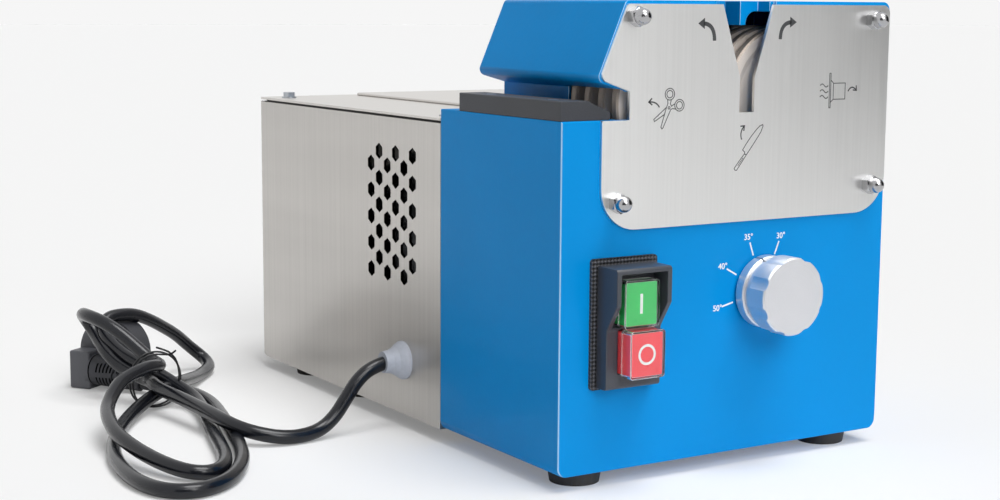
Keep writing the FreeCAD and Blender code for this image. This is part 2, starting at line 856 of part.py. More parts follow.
def bearing(x, z, outer, bore, y0, y1):
    """Ball bearing as one closed ring with shallow grooves between its races."""
    middle = (outer + bore) / 2
    groove = (outer - bore) / 8
    ring = ring_y(outer, bore, x, z, y0, y1)
    grooves = [ring_y(middle + groove, middle - groove, x, z, y0, y0 + bearing_groove),
               ring_y(middle + groove, middle - groove, x, z, y1 - bearing_groove, y1)]
    return cut_all(ring, grooves)


def tail_outline(side):
    """Arm of a carriage, from the block down to its follower pin."""
    x = follower_xs[side]
    block = spindle_xs[side]
    top = spindle_z - carriage_crown
    knee = rod_z - carriage_foot
    inner = block + carriage_half_width - tail_half_width if side == "left" else block
    shoulder = inner - 4 * tail_half_width if side == "left" else inner - 2 * tail_half_width
    end = inner if side == "left" else inner + 2 * tail_half_width
    return [
        (shoulder, top), (shoulder, knee),
        (x - tail_half_width, dial_z + 3 * tail_half_width),
        (x - tail_half_width, dial_z - tail_half_width, tail_corner),
        (x + tail_half_width, dial_z - tail_half_width, tail_corner),
        (x + tail_half_width, dial_z + 3 * tail_half_width),
        (end, knee), (end, top),
    ]


def build_carriage(side):
    x = spindle_xs[side]
    front, back = carriage_front, carriage_back
    outline = rectangle(x - carriage_half_width, x + carriage_half_width,
                        rod_z - carriage_foot, spindle_z + carriage_crown, carriage_corner)
    block = plate_xz(outline, front, back)
    tail = plate_xz(tail_outline(side), front, tail_back)
    cuts = [rod_y(spindle_radius + spindle_room, x, spindle_z, front, back)]
    for y in (front, back - bearing_width):
        cuts.append(rod_y(bearing_radius + seat_clearance, x, spindle_z, y, y + bearing_width))
    for y in rod_ys:
        cuts.append(rod_x(rod_radius + running_clearance, y, rod_z,
                          x - carriage_half_width - overshoot, x + carriage_half_width + overshoot))
    bore = spindle_radius + running_clearance
    bearings = [bearing(x, spindle_z, bearing_radius, bore, y, y + bearing_width)
                for y in (front, back - bearing_width)]
    pin = rod_y(follower_radius, follower_xs[side], dial_z, cam_front, tail_back)
    return cut_all(joined([block, tail, pin]), cuts), group(bearings)


def build_spindle(side):
    x = spindle_xs[side]
    first = disc_fronts[side]
    last = first + (disc_count - 1) * disc_pitch + disc_thickness
    start = first - spindle_nut_height
    shaft = rod_y(spindle_radius, x, spindle_z, start, pulley_back + spindle_tail)
    collar = rod_y(collar_radius, x, spindle_z, last, carriage_front)
    discs = []
    core = disc_radius - rim_depth
    land = core - disc_land
    seat = spindle_radius + seat_clearance
    for index in range(disc_count):
        y0 = first + index * disc_pitch
        y1 = y0 + disc_thickness
        hub_end = y0 + disc_pitch if index < disc_count - 1 else y1
        profile = [
            (y0, seat), (y0, hub_radius), (y0 + disc_dish, hub_radius + disc_slope),
            (y0 + disc_dish, land - disc_slope), (y0, land), (y0, core), (y0 + rim_edge, disc_radius),
            (y1 - rim_edge, disc_radius), (y1, core), (y1, land),
            (y1 - disc_dish, land - disc_slope), (y1 - disc_dish, hub_radius),
            (hub_end, hub_radius), (hub_end, seat),
        ]
        discs.append(turned_y(profile, x, spindle_z))
    nut = plate_xz(hexagon(x, spindle_z, spindle_nut_flats), start, first)
    nut = nut.cut(rod_y(seat, x, spindle_z, start, first))
    return joined([shaft, collar]), group(discs), nut


def build_pulley(x, z, bore):
    front, back = pulley_front, pulley_back
    profile = [
        (front, bore + seat_clearance), (front, pulley_flange_radius),
        (front + pulley_flange, pulley_flange_radius), (front + pulley_flange, pulley_radius),
        (back - pulley_flange, pulley_radius), (back - pulley_flange, pulley_flange_radius),
        (back, pulley_flange_radius), (back, bore + seat_clearance),
    ]
    return turned_y(profile, x, z)


def build_belt(side):
    """Open belt round the drive pulley below and the spindle pulley above."""
    low = Vector(drive_xs[side], 0, drive_z)
    high = Vector(spindle_xs[side], 0, spindle_z)
    along = (high - low).normalize()
    across = Vector(along.z, 0, -along.x)
    front = (pulley_front + pulley_back - belt_width) / 2

    def loop(radius):
        lift = Vector(0, front, 0)
        a, b = low + across * radius + lift, high + across * radius + lift
        c, d = high - across * radius + lift, low - across * radius + lift
        top, bottom = high + along * radius + lift, low - along * radius + lift
        edges = [Part.LineSegment(a, b).toShape(), Part.Arc(b, top, c).toShape(),
                 Part.LineSegment(c, d).toShape(), Part.Arc(d, bottom, a).toShape()]
        return Part.Face(Part.Wire(edges)).extrude(Vector(0, belt_width, 0))

    inner = pulley_radius + running_clearance
    return loop(inner + belt_thickness).cut(loop(inner))


def gear_points(x, z, phase):
    """Corners of an involute gear's outline, three on each flank."""
    base = gear_radius * math.cos(math.radians(20))
    tip, root = gear_radius + gear_module, gear_radius - 1.25 * gear_module
    half_pitch = math.pi / (2 * gear_teeth) - gear_backlash / (2 * gear_radius)

    def involute(radius):
        angle = math.acos(min(1.0, base / radius))
        return math.tan(angle) - angle

    def half_tooth(radius):
        return half_pitch + involute(gear_radius) - involute(radius)

    flank = [root, (root + gear_radius) / 2, gear_radius, (gear_radius + tip) / 2, tip]
    points = []
    for tooth in range(gear_teeth):
        middle = phase + 2 * math.pi * tooth / gear_teeth
        polar = [(r, middle - half_tooth(r)) for r in flank]
        polar += [(r, middle + half_tooth(r)) for r in reversed(flank)]
        points += [(x + r * math.cos(a), z + r * math.sin(a)) for r, a in polar]
    return points


def build_gear(side):
    x = drive_xs[side]
    phase = 0.0 if side == "left" else math.pi / gear_teeth
    gear = plate_xz(gear_points(x, drive_z, phase), gear_front, gear_back)
    web = gear_width / 4
    rim, hub = gear_radius - 4 * gear_module, drive_shaft_radius * 2
    cuts = [
        rod_y(drive_shaft_radius + seat_clearance, x, drive_z, gear_front, gear_back),
        ring_y(rim, hub, x, drive_z, gear_front, gear_front + web),
        ring_y(rim, hub, x, drive_z, gear_back - web, gear_back),
    ]
    return cut_all(gear, cuts)


def build_countershaft():
    return rod_y(drive_shaft_radius, drive_xs["right"], drive_z, bearing_plate_front, bulkhead_front)


def build_drive_bearings():
    bore = drive_shaft_radius + running_clearance
    rings = [bearing(x, drive_z, drive_bearing_radius, bore, bearing_plate_front, bearing_plate_back)
             for x in drive_xs.values()]
    rings.append(bearing(drive_xs["right"], drive_z, drive_bearing_radius, bore,
                         bulkhead_front - bearing_flange_width, bulkhead_front))
    return group(rings)


def motor_bolt_places():
    reach = motor_bolt_circle / math.sqrt(2)
    return [(drive_xs["left"] + u * reach, drive_z + v * reach) for u in (-1, 1) for v in (-1, 1)]


def build_motor():
    x, z = drive_xs["left"], drive_z
    bore = drive_shaft_radius + running_clearance
    frame = ring_y(motor_radius, motor_radius - motor_wall, x, z, motor_front, motor_back)
    fins = []
    half_fin = fin_thickness / 2
    for index in range(motor_fins):
        fin = box(x - half_fin, x + half_fin, motor_front, motor_back,
                  z + motor_radius - half_fin, z + motor_radius + fin_height)
        fins.append(fin.rotate(Vector(x, 0, z), Vector(0, 1, 0), 360 * (index + 0.5) / motor_fins))
    frame = joined([frame] + fins)
    front_shield = ring_y(motor_radius, bore, x, z, front_depth, motor_front)
    front_shield = cut_all(front_shield, [
        rod_y(motor_bolt_radius + seat_clearance, bx, bz, front_depth, motor_front - sheet)
        for bx, bz in motor_bolt_places()])
    back_shield = ring_y(motor_radius, bore, x, z, motor_back, motor_back + rear_shield)
    core_front = motor_front + core_inset
    core_back = core_front + core_length
    stator = ring_y(motor_radius - motor_wall - seat_clearance, rotor_radius + air_gap, x, z,
                    core_front, core_back)
    windings = ring_y(motor_radius - 2 * motor_wall, rotor_radius + winding_gap, x, z,
                      motor_front + winding_gap, motor_back - winding_gap)
    fan_front = motor_back + rear_shield + fan_gap
    shaft = rod_y(drive_shaft_radius, x, z, bearing_plate_front, fan_front + fan_width)
    rotor = joined([shaft, rod_y(rotor_radius, x, z, core_front, core_back)])
    hub = ring_y(drive_shaft_radius * 2, drive_shaft_radius + seat_clearance, x, z,
                 fan_front, fan_front + fan_width)
    disc = ring_y(fan_radius, drive_shaft_radius + seat_clearance, x, z, fan_front, fan_front + fan_plate)
    blades = []
    for index in range(fan_blades):
        blade = box(x - fan_plate / 2, x + fan_plate / 2, fan_front, fan_front + fan_width,
                    z + drive_shaft_radius * 1.5, z + fan_radius)
        blades.append(blade.rotate(Vector(x, 0, z), Vector(0, 1, 0), 360 * index / fan_blades))
    fan = joined([hub, disc] + blades)
    bolts = []
    for bx, bz in motor_bolt_places():
        shank = rod_y(motor_bolt_radius, bx, bz, bulkhead_front, motor_front - 2 * sheet)
        head = plate_xz(hexagon(bx, bz, motor_bolt_flats), bulkhead_front - motor_bolt_head, bulkhead_front)
        bolts.append(joined([shank, head]))
    pieces = {"motor_frame": frame, "motor_end_shields": group([front_shield, back_shield]),
              "motor_stator": joined([stator, windings]), "motor_rotor": rotor, "motor_fan": fan}
    return pieces, bolts


def build_capacitor():
    z = floor_top + capacitor_radius
    front, back = capacitor_front, capacitor_front + capacitor_length
    can = rod_y(capacitor_radius, capacitor_x, z, front, back)
    studs = []
    for side in (-1, 1):
        x = capacitor_x + side * capacitor_pin_pitch / 2
        studs.append(rod_y(capacitor_pin_radius, x, z, front - capacitor_pin, front))
    return joined([can.makeFillet(capacitor_edge, can.Edges)] + studs)


def build_terminal_block():
    x0 = -half_width + bottom_corner + sheet
    x1 = x0 + terminal_width
    y0 = gland_y + terminal_gap
    top = floor_top + terminal_height
    body = box(x0, x1, y0, y0 + terminal_count * terminal_pitch, floor_top, top)
    cuts = []
    for index in range(terminal_count):
        y = y0 + terminal_pitch * (index + 0.5)
        cuts.append(rod_z_axis(terminal_screw_radius, (x0 + x1) / 2, y, top - terminal_depth, top))
        cuts.append(rod_x(terminal_wire_radius, y, floor_top + terminal_depth, x0, x0 + terminal_wire_depth))
    return cut_all(body, cuts)


def build_dial():
    x, z = dial_x, dial_z
    low, high = dial_flange
    edge = dial_flange_chamfer
    profile = [
        (-low, 0), (-low, dial_flange_radius - edge), (-low - edge, dial_flange_radius),
        (-high + edge, dial_flange_radius), (-high, dial_flange_radius - edge), (-high, dial_neck_radius),
        (-dial_neck_top, dial_neck_radius), (-dial_neck_top, dial_radius - dial_chamfer),
        (-dial_neck_top - dial_chamfer, dial_radius), (-dial_reach + dial_chamfer, dial_radius),
        (-dial_reach, dial_radius - dial_chamfer), (-dial_reach, 0),
    ]
    knob = turned_y(profile, x, z)
    cuts = [rod_y(dial_shaft_radius + seat_clearance, x, z, -dial_bore_depth, 0)]
    centre = dial_radius - dial_scallop_depth + dial_scallop_radius
    for index in range(dial_scallops):
        angle = 2 * math.pi * (index + 0.5) / dial_scallops
        cuts.append(rod_y(dial_scallop_radius, x + centre * math.cos(angle), z + centre * math.sin(angle),
                          -dial_reach, -dial_neck_top))
    half_notch = dial_pointer_width / 2
    notch = box(x - half_notch, x + half_notch, -dial_neck_top, 0,
                z + dial_neck_radius - half_notch, z + dial_radius)
    cuts.append(notch.rotate(Vector(x, 0, z), Vector(0, 1, 0), -dial_pointer_angle))
    shaft = rod_y(dial_shaft_radius, x, z, -dial_bore_depth, bearing_plate_back)
    bush = joined([rod_y(bush_radius, x, z, 0, bush_length),
                   rod_y(bush_flange_radius, x, z, sheet, sheet + bush_flange)])
    bush = bush.cut(rod_y(dial_shaft_radius + running_clearance, x, z, 0, bush_length))
    return cut_all(knob, cuts), shaft, bush


def scroll_slot(start):
    """Spiral slot whose middle radius grows evenly, for a follower at angle start."""
    low, high = (-math.radians(dial_steps[1]), -math.radians(dial_steps[0]))
    half = follower_radius + slide_clearance
    spare = (half + overshoot) / cam_pitch_radius
    steps = 10
    angles = [low - spare + (high - low + 2 * spare) * i / steps for i in range(steps + 1)]

    def curve(offset):
        points = []
        for angle in angles:
            radius = cam_pitch_radius + cam_rise * angle + offset
            points.append(Vector(dial_x + radius * math.cos(angle + start), cam_front,
                                 dial_z + radius * math.sin(angle + start)))
        spline = Part.BSplineCurve()
        spline.interpolate(points)
        return spline.toShape(), points[0], points[-1]

    outer, outer_low, outer_high = curve(half)
    inner, inner_low, inner_high = curve(-half)
    ends = [Part.LineSegment(outer_high, inner_high).toShape(),
            Part.LineSegment(inner_low, outer_low).toShape()]
    wire = Part.Wire(Part.__sortEdges__([outer, inner] + ends))
    return Part.Face(wire).extrude(Vector(0, cam_thickness, 0))


def build_scroll_cam():
    disc = joined([rod_y(cam_radius, dial_x, dial_z, cam_front, cam_back),
                   rod_y(cam_hub_radius, dial_x, dial_z, cam_back, cam_back + cam_gap - overshoot)])
    bore = rod_y(dial_shaft_radius + seat_clearance, dial_x, dial_z, cam_front, cam_back + cam_gap)
    return cut_all(disc, [bore, scroll_slot(0.0), scroll_slot(math.pi)])


def build_switch():
    x = switch_x
    half_gasket_width, half_gasket_height = gasket_width / 2, gasket_height / 2
    gasket = plate_xz(rectangle(x - half_gasket_width, x + half_gasket_width,
                                switch_z - half_gasket_height, switch_z + half_gasket_height, cowl_edge),
                      -gasket_thickness, 0)
    gasket = gasket.cut(plate_xz(switch_cutout(), -gasket_thickness, 0))
    half = cowl_width / 2
    profile = [
        (-gasket_thickness, cowl_bottom), (-cowl_low_reach, cowl_bottom, cowl_edge),
        (-cowl_low_reach, cowl_break_low, cowl_edge), (-cowl_reach, cowl_break_high, cowl_edge),
        (-cowl_reach, cowl_crown, cowl_edge), (-gasket_thickness, cowl_crown),
    ]
    shell = plate_yz(profile, x - half, x + half)
    recess_low = (green_z + red_z) / 2
    margin = button_width / 2 + slide_clearance
    tall = button_height / 2 + slide_clearance
    cuts = [
        box(x - half + cowl_wall, x + half - cowl_wall, -cowl_reach - overshoot, -cowl_floor,
            recess_low, cowl_crown - cowl_wall),
        plate_xz(switch_cutout(), -block_front, 0),
    ]
    for z in (green_z, red_z):
        cuts.append(box(x - margin, x + margin, -cowl_reach - overshoot, 0, z - tall, z + tall))
    shell = cut_all(shell, cuts)
    block = plate_xz(switch_cutout(slide_clearance), -block_front, block_depth)
    wells = [rod_y(spring_radius + spring_wire + slide_clearance, x, z, -block_front, spring_depth)
             for z in (green_z, red_z)]
    block = cut_all(block, wells)
    pieces = {"switch_gasket": gasket, "switch_housing": shell, "switch_contact_block": block}
    rear = -block_front - button_travel - slide_clearance
    for name, z, reach, boot_end in (("green", green_z, green_reach, boot_rear),
                                     ("red", red_z, red_reach, red_boot_rear)):
        u, v = button_width / 2, button_height / 2
        button = plate_xz(rectangle(x - u, x + u, z - v, z + v, button_corner), -reach, rear)
        gap, skin = boot_gap, boot_gap + boot_wall
        boot = plate_xz(rectangle(x - u - skin, x + u + skin, z - v - skin, z + v + skin, boot_corner),
                        -reach - skin, -boot_end)
        hollow = plate_xz(rectangle(x - u - gap, x + u + gap, z - v - gap, z + v + gap, button_corner),
                          -reach - gap, -boot_end)
        pieces[name + "_button"] = button
        pieces[name + "_button_boot"] = boot.cut(hollow)
        pieces[name + "_button_spring"] = build_spring(x, z, rear, spring_depth)
    return pieces


def build_spring(x, z, front, back):
    """Coil spring along Y between the button and the bottom of its well."""
    height = back - front - 2 * spring_wire
    helix = Part.makeHelix(height / spring_turns, height, spring_radius)
    start = helix.Vertexes[0].Point
    section = Part.Wire(Part.Circle(start, Vector(0, 1, 0), spring_wire).toShape())
    coil = Part.Wire(helix.Edges).makePipeShell([section], True, True)
    coil.rotate(Vector(0, 0, 0), Vector(1, 0, 0), -90)
    coil.translate(Vector(x, front + spring_wire, z))
    return coil


def build_gland():
    face = -half_width
    profile = [(face + sheet + gland_tail, 0), (face + sheet + gland_tail, gland_neck_radius),
               (face, gland_neck_radius)]
    profile += [(face - reach, radius) for reach, radius in gland_profile]
    profile.append((face - gland_profile[-1][0], 0))
    return turned_x(profile, gland_y, gland_z)


def rounded_path(points):
    """Path of straight runs joined by tangent arcs, with the arcs' radii."""
    corners = [Vector(*p) for p in points]
    edges, radii = [], []
    start = corners[0]
    for before, here, after in zip(corners, corners[1:], corners[2:]):
        back, ahead = before - here, after - here
        reach = arc_share * min(back.Length, ahead.Length)
        back.normalize()
        ahead.normalize()
        half_turn = (math.pi - back.getAngle(ahead)) / 2
        radius = reach / math.tan(half_turn)
        inward = (back + ahead).normalize()
        middle = here + inward * (radius / math.cos(half_turn) - radius)
        enter, leave = here + back * reach, here + ahead * reach
        edges.append(Part.LineSegment(start, enter).toShape())
        edges.append(Part.Arc(enter, middle, leave).toShape())
        radii.append(radius)
        start = leave
    edges.append(Part.LineSegment(start, corners[-1]).toShape())
    return Part.Wire(edges), radii


def build_cord_lead():
    """Cord from the gland down to the floor and back to the hank, in the part's own frame."""
    path, radii = rounded_path(cord_route)
    print("cord arc radii", [round(r, 1) for r in radii], "length", round(path.Length, 1))
    start = Vector(*cord_route[0])
    section = Part.Wire(Part.Circle(start, Vector(*cord_route[1]) - start, cord_radius).toShape())
    tube = path.makePipeShell([section], True, True)
    print("cord volume ratio", round(tube.Volume / (math.pi * cord_radius ** 2 * path.Length), 4))
    return unplace(tube)


def lobe(outline, hole, z0, z1):
    return plate_xy(outline, z0, z1).cut(plate_xy(hole, z0, z1))


def build_plug():
    """Angled two-pin plug lying on its rim; also the room it takes up, with clearance."""
    along, out, height = plug_disc_place

    def body(spare):
        wall = Vector(0, 1, 0)
        block = box(-spare, plug_block_length + spare, -spare, plug_block_depth + spare,
                    -spare, plug_block_height + spare)
        block = block.makeFillet(plug_edge, block.Edges)
        disc = Part.makeCylinder(plug_disc_radius + spare, plug_disc_thickness + 2 * spare,
                                 Vector(along, out - spare, height), wall)
        root = Vector(plug_neck_start, plug_block_depth / 2, plug_block_height / 2)
        tip = Vector(plug_neck_end, plug_block_depth / 2, plug_neck_tip_height)
        neck = Part.makeCone(plug_neck_radius + spare, plug_neck_tip_radius + spare,
                             (tip - root).Length, root, tip - root)
        return [block, disc, neck], root, tip

    pieces, root, tip = body(0.0)
    plug = joined(pieces)
    run = tip - root
    for index in range(plug_ribs):
        share = 1 - (index + 1) / (2 * plug_ribs)
        radius = plug_neck_radius + (plug_neck_tip_radius - plug_neck_radius) * share
        at = root + run * share
        groove = Part.makeCylinder(radius + overshoot, plug_rib_width, at, run)
        core = Part.makeCylinder(radius - plug_rib_depth, plug_rib_width, at, run)
        plug = plug.cut(groove.cut(core).cut(pieces[1]))
    face = out + plug_disc_thickness
    pins = []
    for side in (-1, 1):
        place_z = height + side * pin_pitch / 2
        pin = rod_y(pin_radius, along, place_z, face - pin_root, face + pin_length)
        tip_edges = [edge for edge in pin.Edges if edge.BoundBox.YMin > face]
        pins.append(pin.makeFillet(pin_radius / 2, tip_edges[:1]))
        plug = plug.cut(rod_y(pin_radius + seat_clearance, along, place_z, face - pin_root, face))
    room = joined(body(slide_clearance)[0] + [
        rod_y(pin_radius + slide_clearance, along, height + side * pin_pitch / 2,
              face, face + pin_length + slide_clearance) for side in (-1, 1)])
    return [lay_plug(shape) for shape in (plug, group(pins), room)]


def lay_plug(shape):
    laid = shape.copy()
    laid.rotate(Vector(0, 0, 0), Vector(0, 0, 1), plug_heading)
    laid.translate(Vector(*plug_place))
    return unplace(laid)


def build_hank(plug_room):
    """Outer shape of the tied hank: two lobes of loops and the knot between, with its wire tie."""
    heading = math.radians(knot_heading)
    ahead = Vector(math.cos(heading), math.sin(heading), 0)
    start = Vector(*knot_start)
    end = start + ahead * knot_length
    knot = Part.makeCylinder(knot_radius, knot_length, start, ahead)
    low = lobe(lower_lobe, lower_lobe_hole, lobe_lift, lobe_lift + lobe_thickness)
    high = lobe(upper_lobe, upper_lobe_hole, -lobe_thickness / 2, lobe_thickness / 2)
    high.rotate(Vector(0, 0, 0), Vector(1, 0, 0), upper_lobe_tilt)
    high.rotate(Vector(0, 0, 0), Vector(0, 0, 1), knot_heading)
    high.translate(Vector(*upper_lobe_start))
    middle = start + ahead * ((knot_length - tie_width) / 2)
    ring = Part.makeCylinder(knot_radius + tie_wire, tie_width, middle, ahead)
    groove = Part.makeCylinder(knot_radius + tie_wire + slide_clearance, tie_width + 2 * slide_clearance,
                               middle - ahead * slide_clearance, ahead)
    core = Part.makeCylinder(knot_radius, knot_length, start, ahead)
    tie_core = Part.makeCylinder(knot_radius + seat_clearance, tie_width, middle, ahead)
    plug_end = plug_tip()
    tail = Part.makeCylinder(cord_radius, (end - plug_end).Length, plug_end, end - plug_end)
    hank = joined([knot, low, high]).cut(groove.cut(core))
    hank = joined([unplace(hank).cut(plug_room), unplace(tail)])
    return hank, unplace(ring.cut(tie_core))


def plug_tip():
    heading = math.radians(plug_heading)
    along = Vector(math.cos(heading), math.sin(heading), 0)
    across = Vector(-along.y, along.x, 0)
    return Vector(*plug_place) + along * plug_neck_end + across * (plug_block_depth / 2) + Vector(
        0, 0, plug_neck_tip_height)


def unplace(shape):
    """Move a piece from the part's own frame to the build frame."""
    moved = shape.copy()
    moved.translate(place_shift * -1)
    return moved


def build_all():
    nodes["front_housing"] = build_front_housing()
    nodes["upper_hood"] = build_upper_hood()
    nodes["front_plate"] = build_front_plate()
    studs, nodes["dome_nuts"] = build_plate_fasteners()
    nodes["scissor_rest"], rest_screws = build_scissor_rest()
    nodes["rear_cover"] = build_rear_cover()
    nodes["rear_lid"], nodes["lid_panel"], lid_screws = build_lid()
    nodes["base_plate"] = build_base()
    nodes["feet"], foot_screws = build_feet()
    nodes["bulkhead"] = build_bulkhead()
    nodes["drive_frame"], nodes["guide_rods"] = build_drive_frame()
    for side in ("left", "right"):
        nodes[side + "_carriage"], nodes[side + "_spindle_bearings"] = build_carriage(side)
        spindle, discs, nut = build_spindle(side)
        nodes[side + "_spindle"] = spindle
        nodes[side + "_grinding_discs"] = discs
        nodes[side + "_spindle_nut"] = nut
        nodes[side + "_spindle_pulley"] = build_pulley(spindle_xs[side], spindle_z, spindle_radius)
        nodes[side + "_drive_pulley"] = build_pulley(drive_xs[side], drive_z, drive_shaft_radius)
        nodes[side + "_belt"] = build_belt(side)
        nodes[side + "_drive_gear"] = build_gear(side)
    nodes["right_countershaft"] = build_countershaft()
    nodes["drive_bearings"] = build_drive_bearings()
    motor, motor_bolts = build_motor()
    nodes.update(motor)
    nodes["run_capacitor"] = build_capacitor()
    nodes["terminal_block"] = build_terminal_block()
    nodes["angle_dial"], nodes["dial_shaft"], nodes["dial_bush"] = build_dial()
    nodes["scroll_cam"] = build_scroll_cam()
    nodes.update(build_switch())
    nodes["screws_and_bolts"] = group(studs + rest_screws + lid_screws + foot_screws + motor_bolts)
    nodes["cord_gland"] = build_gland()
    nodes["cord_lead"] = build_cord_lead()
    plug, nodes["plug_pins"], plug_room = build_plug()
    nodes["plug_body"] = plug
    nodes["cord_hank"], nodes["cord_tie"] = build_hank(plug_room)


def place(shape):
    """Move a piece from the build frame to the part's own frame."""
    moved = shape.copy()
    moved.translate(place_shift)
    return moved


build_all()
os.makedirs("parts", exist_ok=True)
for name, shape in nodes.items():
    place(shape).exportStep("parts/" + name + ".step")
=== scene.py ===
"""Looks, printed marks, mains cord and studio stage of a bench sharpener with interlocking grinding discs."""

import json
import math

import bmesh
import bpy
from bpy.props import FloatProperty, FloatVectorProperty, PointerProperty
from mathutils import Matrix, Vector


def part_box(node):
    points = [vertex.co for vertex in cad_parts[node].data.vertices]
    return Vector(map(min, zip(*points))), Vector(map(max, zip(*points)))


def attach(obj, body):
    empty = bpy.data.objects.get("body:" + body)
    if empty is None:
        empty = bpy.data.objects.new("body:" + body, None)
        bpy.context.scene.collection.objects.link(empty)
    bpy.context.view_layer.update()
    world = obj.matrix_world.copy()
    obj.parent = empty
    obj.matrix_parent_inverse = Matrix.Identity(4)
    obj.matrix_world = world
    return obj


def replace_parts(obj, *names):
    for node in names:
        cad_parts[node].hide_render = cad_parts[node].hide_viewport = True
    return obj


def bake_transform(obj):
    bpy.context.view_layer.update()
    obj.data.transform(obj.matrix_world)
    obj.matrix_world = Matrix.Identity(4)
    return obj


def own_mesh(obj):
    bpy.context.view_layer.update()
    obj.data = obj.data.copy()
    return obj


bl_info = {
    "name": "Bench sharpener",
    "version": (1, 0, 0),
    "blender": (4, 5, 0),
    "location": "3D View > Sidebar > Sharpener",
    "description": "Dresses the sharpener's solids with finishes, printed marks, cord and studio stage",
    "category": "Object",
}

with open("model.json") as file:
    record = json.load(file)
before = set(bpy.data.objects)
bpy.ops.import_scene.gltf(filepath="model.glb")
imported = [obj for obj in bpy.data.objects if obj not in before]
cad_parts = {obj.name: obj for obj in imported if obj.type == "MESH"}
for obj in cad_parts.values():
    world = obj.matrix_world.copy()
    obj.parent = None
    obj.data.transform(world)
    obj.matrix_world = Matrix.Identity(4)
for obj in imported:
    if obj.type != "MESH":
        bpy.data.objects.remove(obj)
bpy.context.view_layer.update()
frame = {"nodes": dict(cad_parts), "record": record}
mm = 0.001
plate_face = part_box("front_plate")[0].y
housing_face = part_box("front_housing")[0].y
print_height = 0.06 * mm


def shade(code):
    """The linear colour of a six-digit colour code, with full cover."""
    parts = [int(code[i:i + 2], 16) / 255 for i in (0, 2, 4)]
    return tuple(c / 12.92 if c <= 0.04045 else ((c + 0.055) / 1.055) ** 2.4 for c in parts) + (1.0,)


def tint(label, about, code):
    """A colour that a user may change."""
    return FloatVectorProperty(
        name=label, description=about, default=shade(code), size=4, min=0.0, max=1.0, subtype="COLOR")


def span(label, about, value):
    """A length that a user may change, given in millimetres."""
    return FloatProperty(
        name=label, description=about, default=value * mm, min=0.0, unit="LENGTH", precision=5)


def level(label, about, value):
    """A plain factor that a user may change."""
    return FloatProperty(
        name=label, description=about, default=value, min=0.0, soft_max=3.0, subtype="FACTOR")


def power(label, about, value):
    """A lamp's power that a user may change, in watts."""
    return FloatProperty(
        name=label, description=about, default=value, min=0.0, soft_max=100.0, unit="POWER")


def middle_of(node):
    """The middle of a solid's box."""
    low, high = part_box(node)
    return (low + high) / 2


class SharpenerColours(bpy.types.PropertyGroup):
    """Colours of the finishes that show on the outside."""

    paint: tint("Paint", "Powder coat of the housing and the hood", "008ED9")
    plate: tint("Front plate", "Brushed stainless front plate", "EBEBEA")
    cover: tint("Rear cover", "Stainless rear cover and lid", "C4C1BD")
    dial: tint("Dial", "Satin aluminium dial", "E4E5E9")
    rest: tint("Scissor rest", "Textured plastic rest", "2F3136")
    cord: tint("Cord", "Sheath of the mains cord", "12141A")
    gland: tint("Cord gland", "Soft rubber cone round the cord", "B6BBC6")
    start: tint("Start button", "Green push button", "34C864")
    stop: tint("Stop button", "Red push button", "FA4E56")
    print_dark: tint("Plate print", "Printed pictograms on the front plate", "3C3D3F")
    print_white: tint("Scale print", "Printed scale and button symbols", "F4F6F6")


class SharpenerSizes(bpy.types.PropertyGroup):
    """Sizes of the pieces that stand on the solids, and how far the solids' edges are rounded."""

    cord_diameter: span("Cord diameter", "Outside of the mains cord", 9.0)
    tie_diameter: span("Tie diameter", "Wire tie round the cord", 1.3)
    thin_line: span("Thin line", "Stroke of the pictograms", 0.5)
    thick_line: span("Thick line", "Stroke of the two turning arrows", 2.4)
    tick_line: span("Tick width", "Stroke of the dial's scale", 0.95)
    figure_height: span("Figure height", "Height of the scale's figures", 3.4)
    sheet_edge: span("Sheet edge", "Rounding of the housing's and the lid panel's edges", 0.9)
    hood_edge: span("Hood edge", "Rounding of the hood's and the switch housing's edges", 0.45)
    rest_edge: span("Rest edge", "Rounding of the scissor rest's edges", 0.5)
    boot_edge: span("Boot edge", "Rounding of the button boots' edges", 0.3)


class SharpenerLight(bpy.types.PropertyGroup):
    """Levels of the studio's lamps, and the colours round the object."""

    sky: level("Sky", "Even light from all round", 0.12)
    front: level("Front lamp", "Wide lamp in front", 1.5)
    top: level("Top lamp", "Wide lamp above", 1.97)
    slot: power("Slot lamp", "Narrow beam into the grinding slot", 13.0)
    fill: level("Floor fill", "How far the floor's shadow is lifted towards the backdrop", 0.22)
    floor: tint("Floor", "Colour of the floor", "F7F7F7")
    backdrop: tint("Backdrop", "Colour behind the floor", "F6F6F6")


class Signal:
    """A socket of a node tree. Arithmetic on it adds Math nodes."""

    def __init__(self, tree, socket):
        self.tree = tree
        self.socket = socket

    def __add__(self, other):
        return self.tree.maths("ADD", self, other)

    def __radd__(self, other):
        return self.tree.maths("ADD", other, self)

    def __sub__(self, other):
        return self.tree.maths("SUBTRACT", self, other)

    def __rsub__(self, other):
        return self.tree.maths("SUBTRACT", other, self)

    def __mul__(self, other):
        return self.tree.maths("MULTIPLY", self, other)

    def __rmul__(self, other):
        return self.tree.maths("MULTIPLY", other, self)

    def __truediv__(self, other):
        return self.tree.maths("DIVIDE", self, other)

    def __rtruediv__(self, other):
        return self.tree.maths("DIVIDE", other, self)

    def __pow__(self, other):
        return self.tree.maths("POWER", self, other)

    def __rpow__(self, other):
        return self.tree.maths("POWER", other, self)

    def __abs__(self):
        return self.tree.maths("ABSOLUTE", self)

    def __lt__(self, other):
        return self.tree.maths("LESS_THAN", self, other)

    def __gt__(self, other):
        return self.tree.maths("GREATER_THAN", self, other)


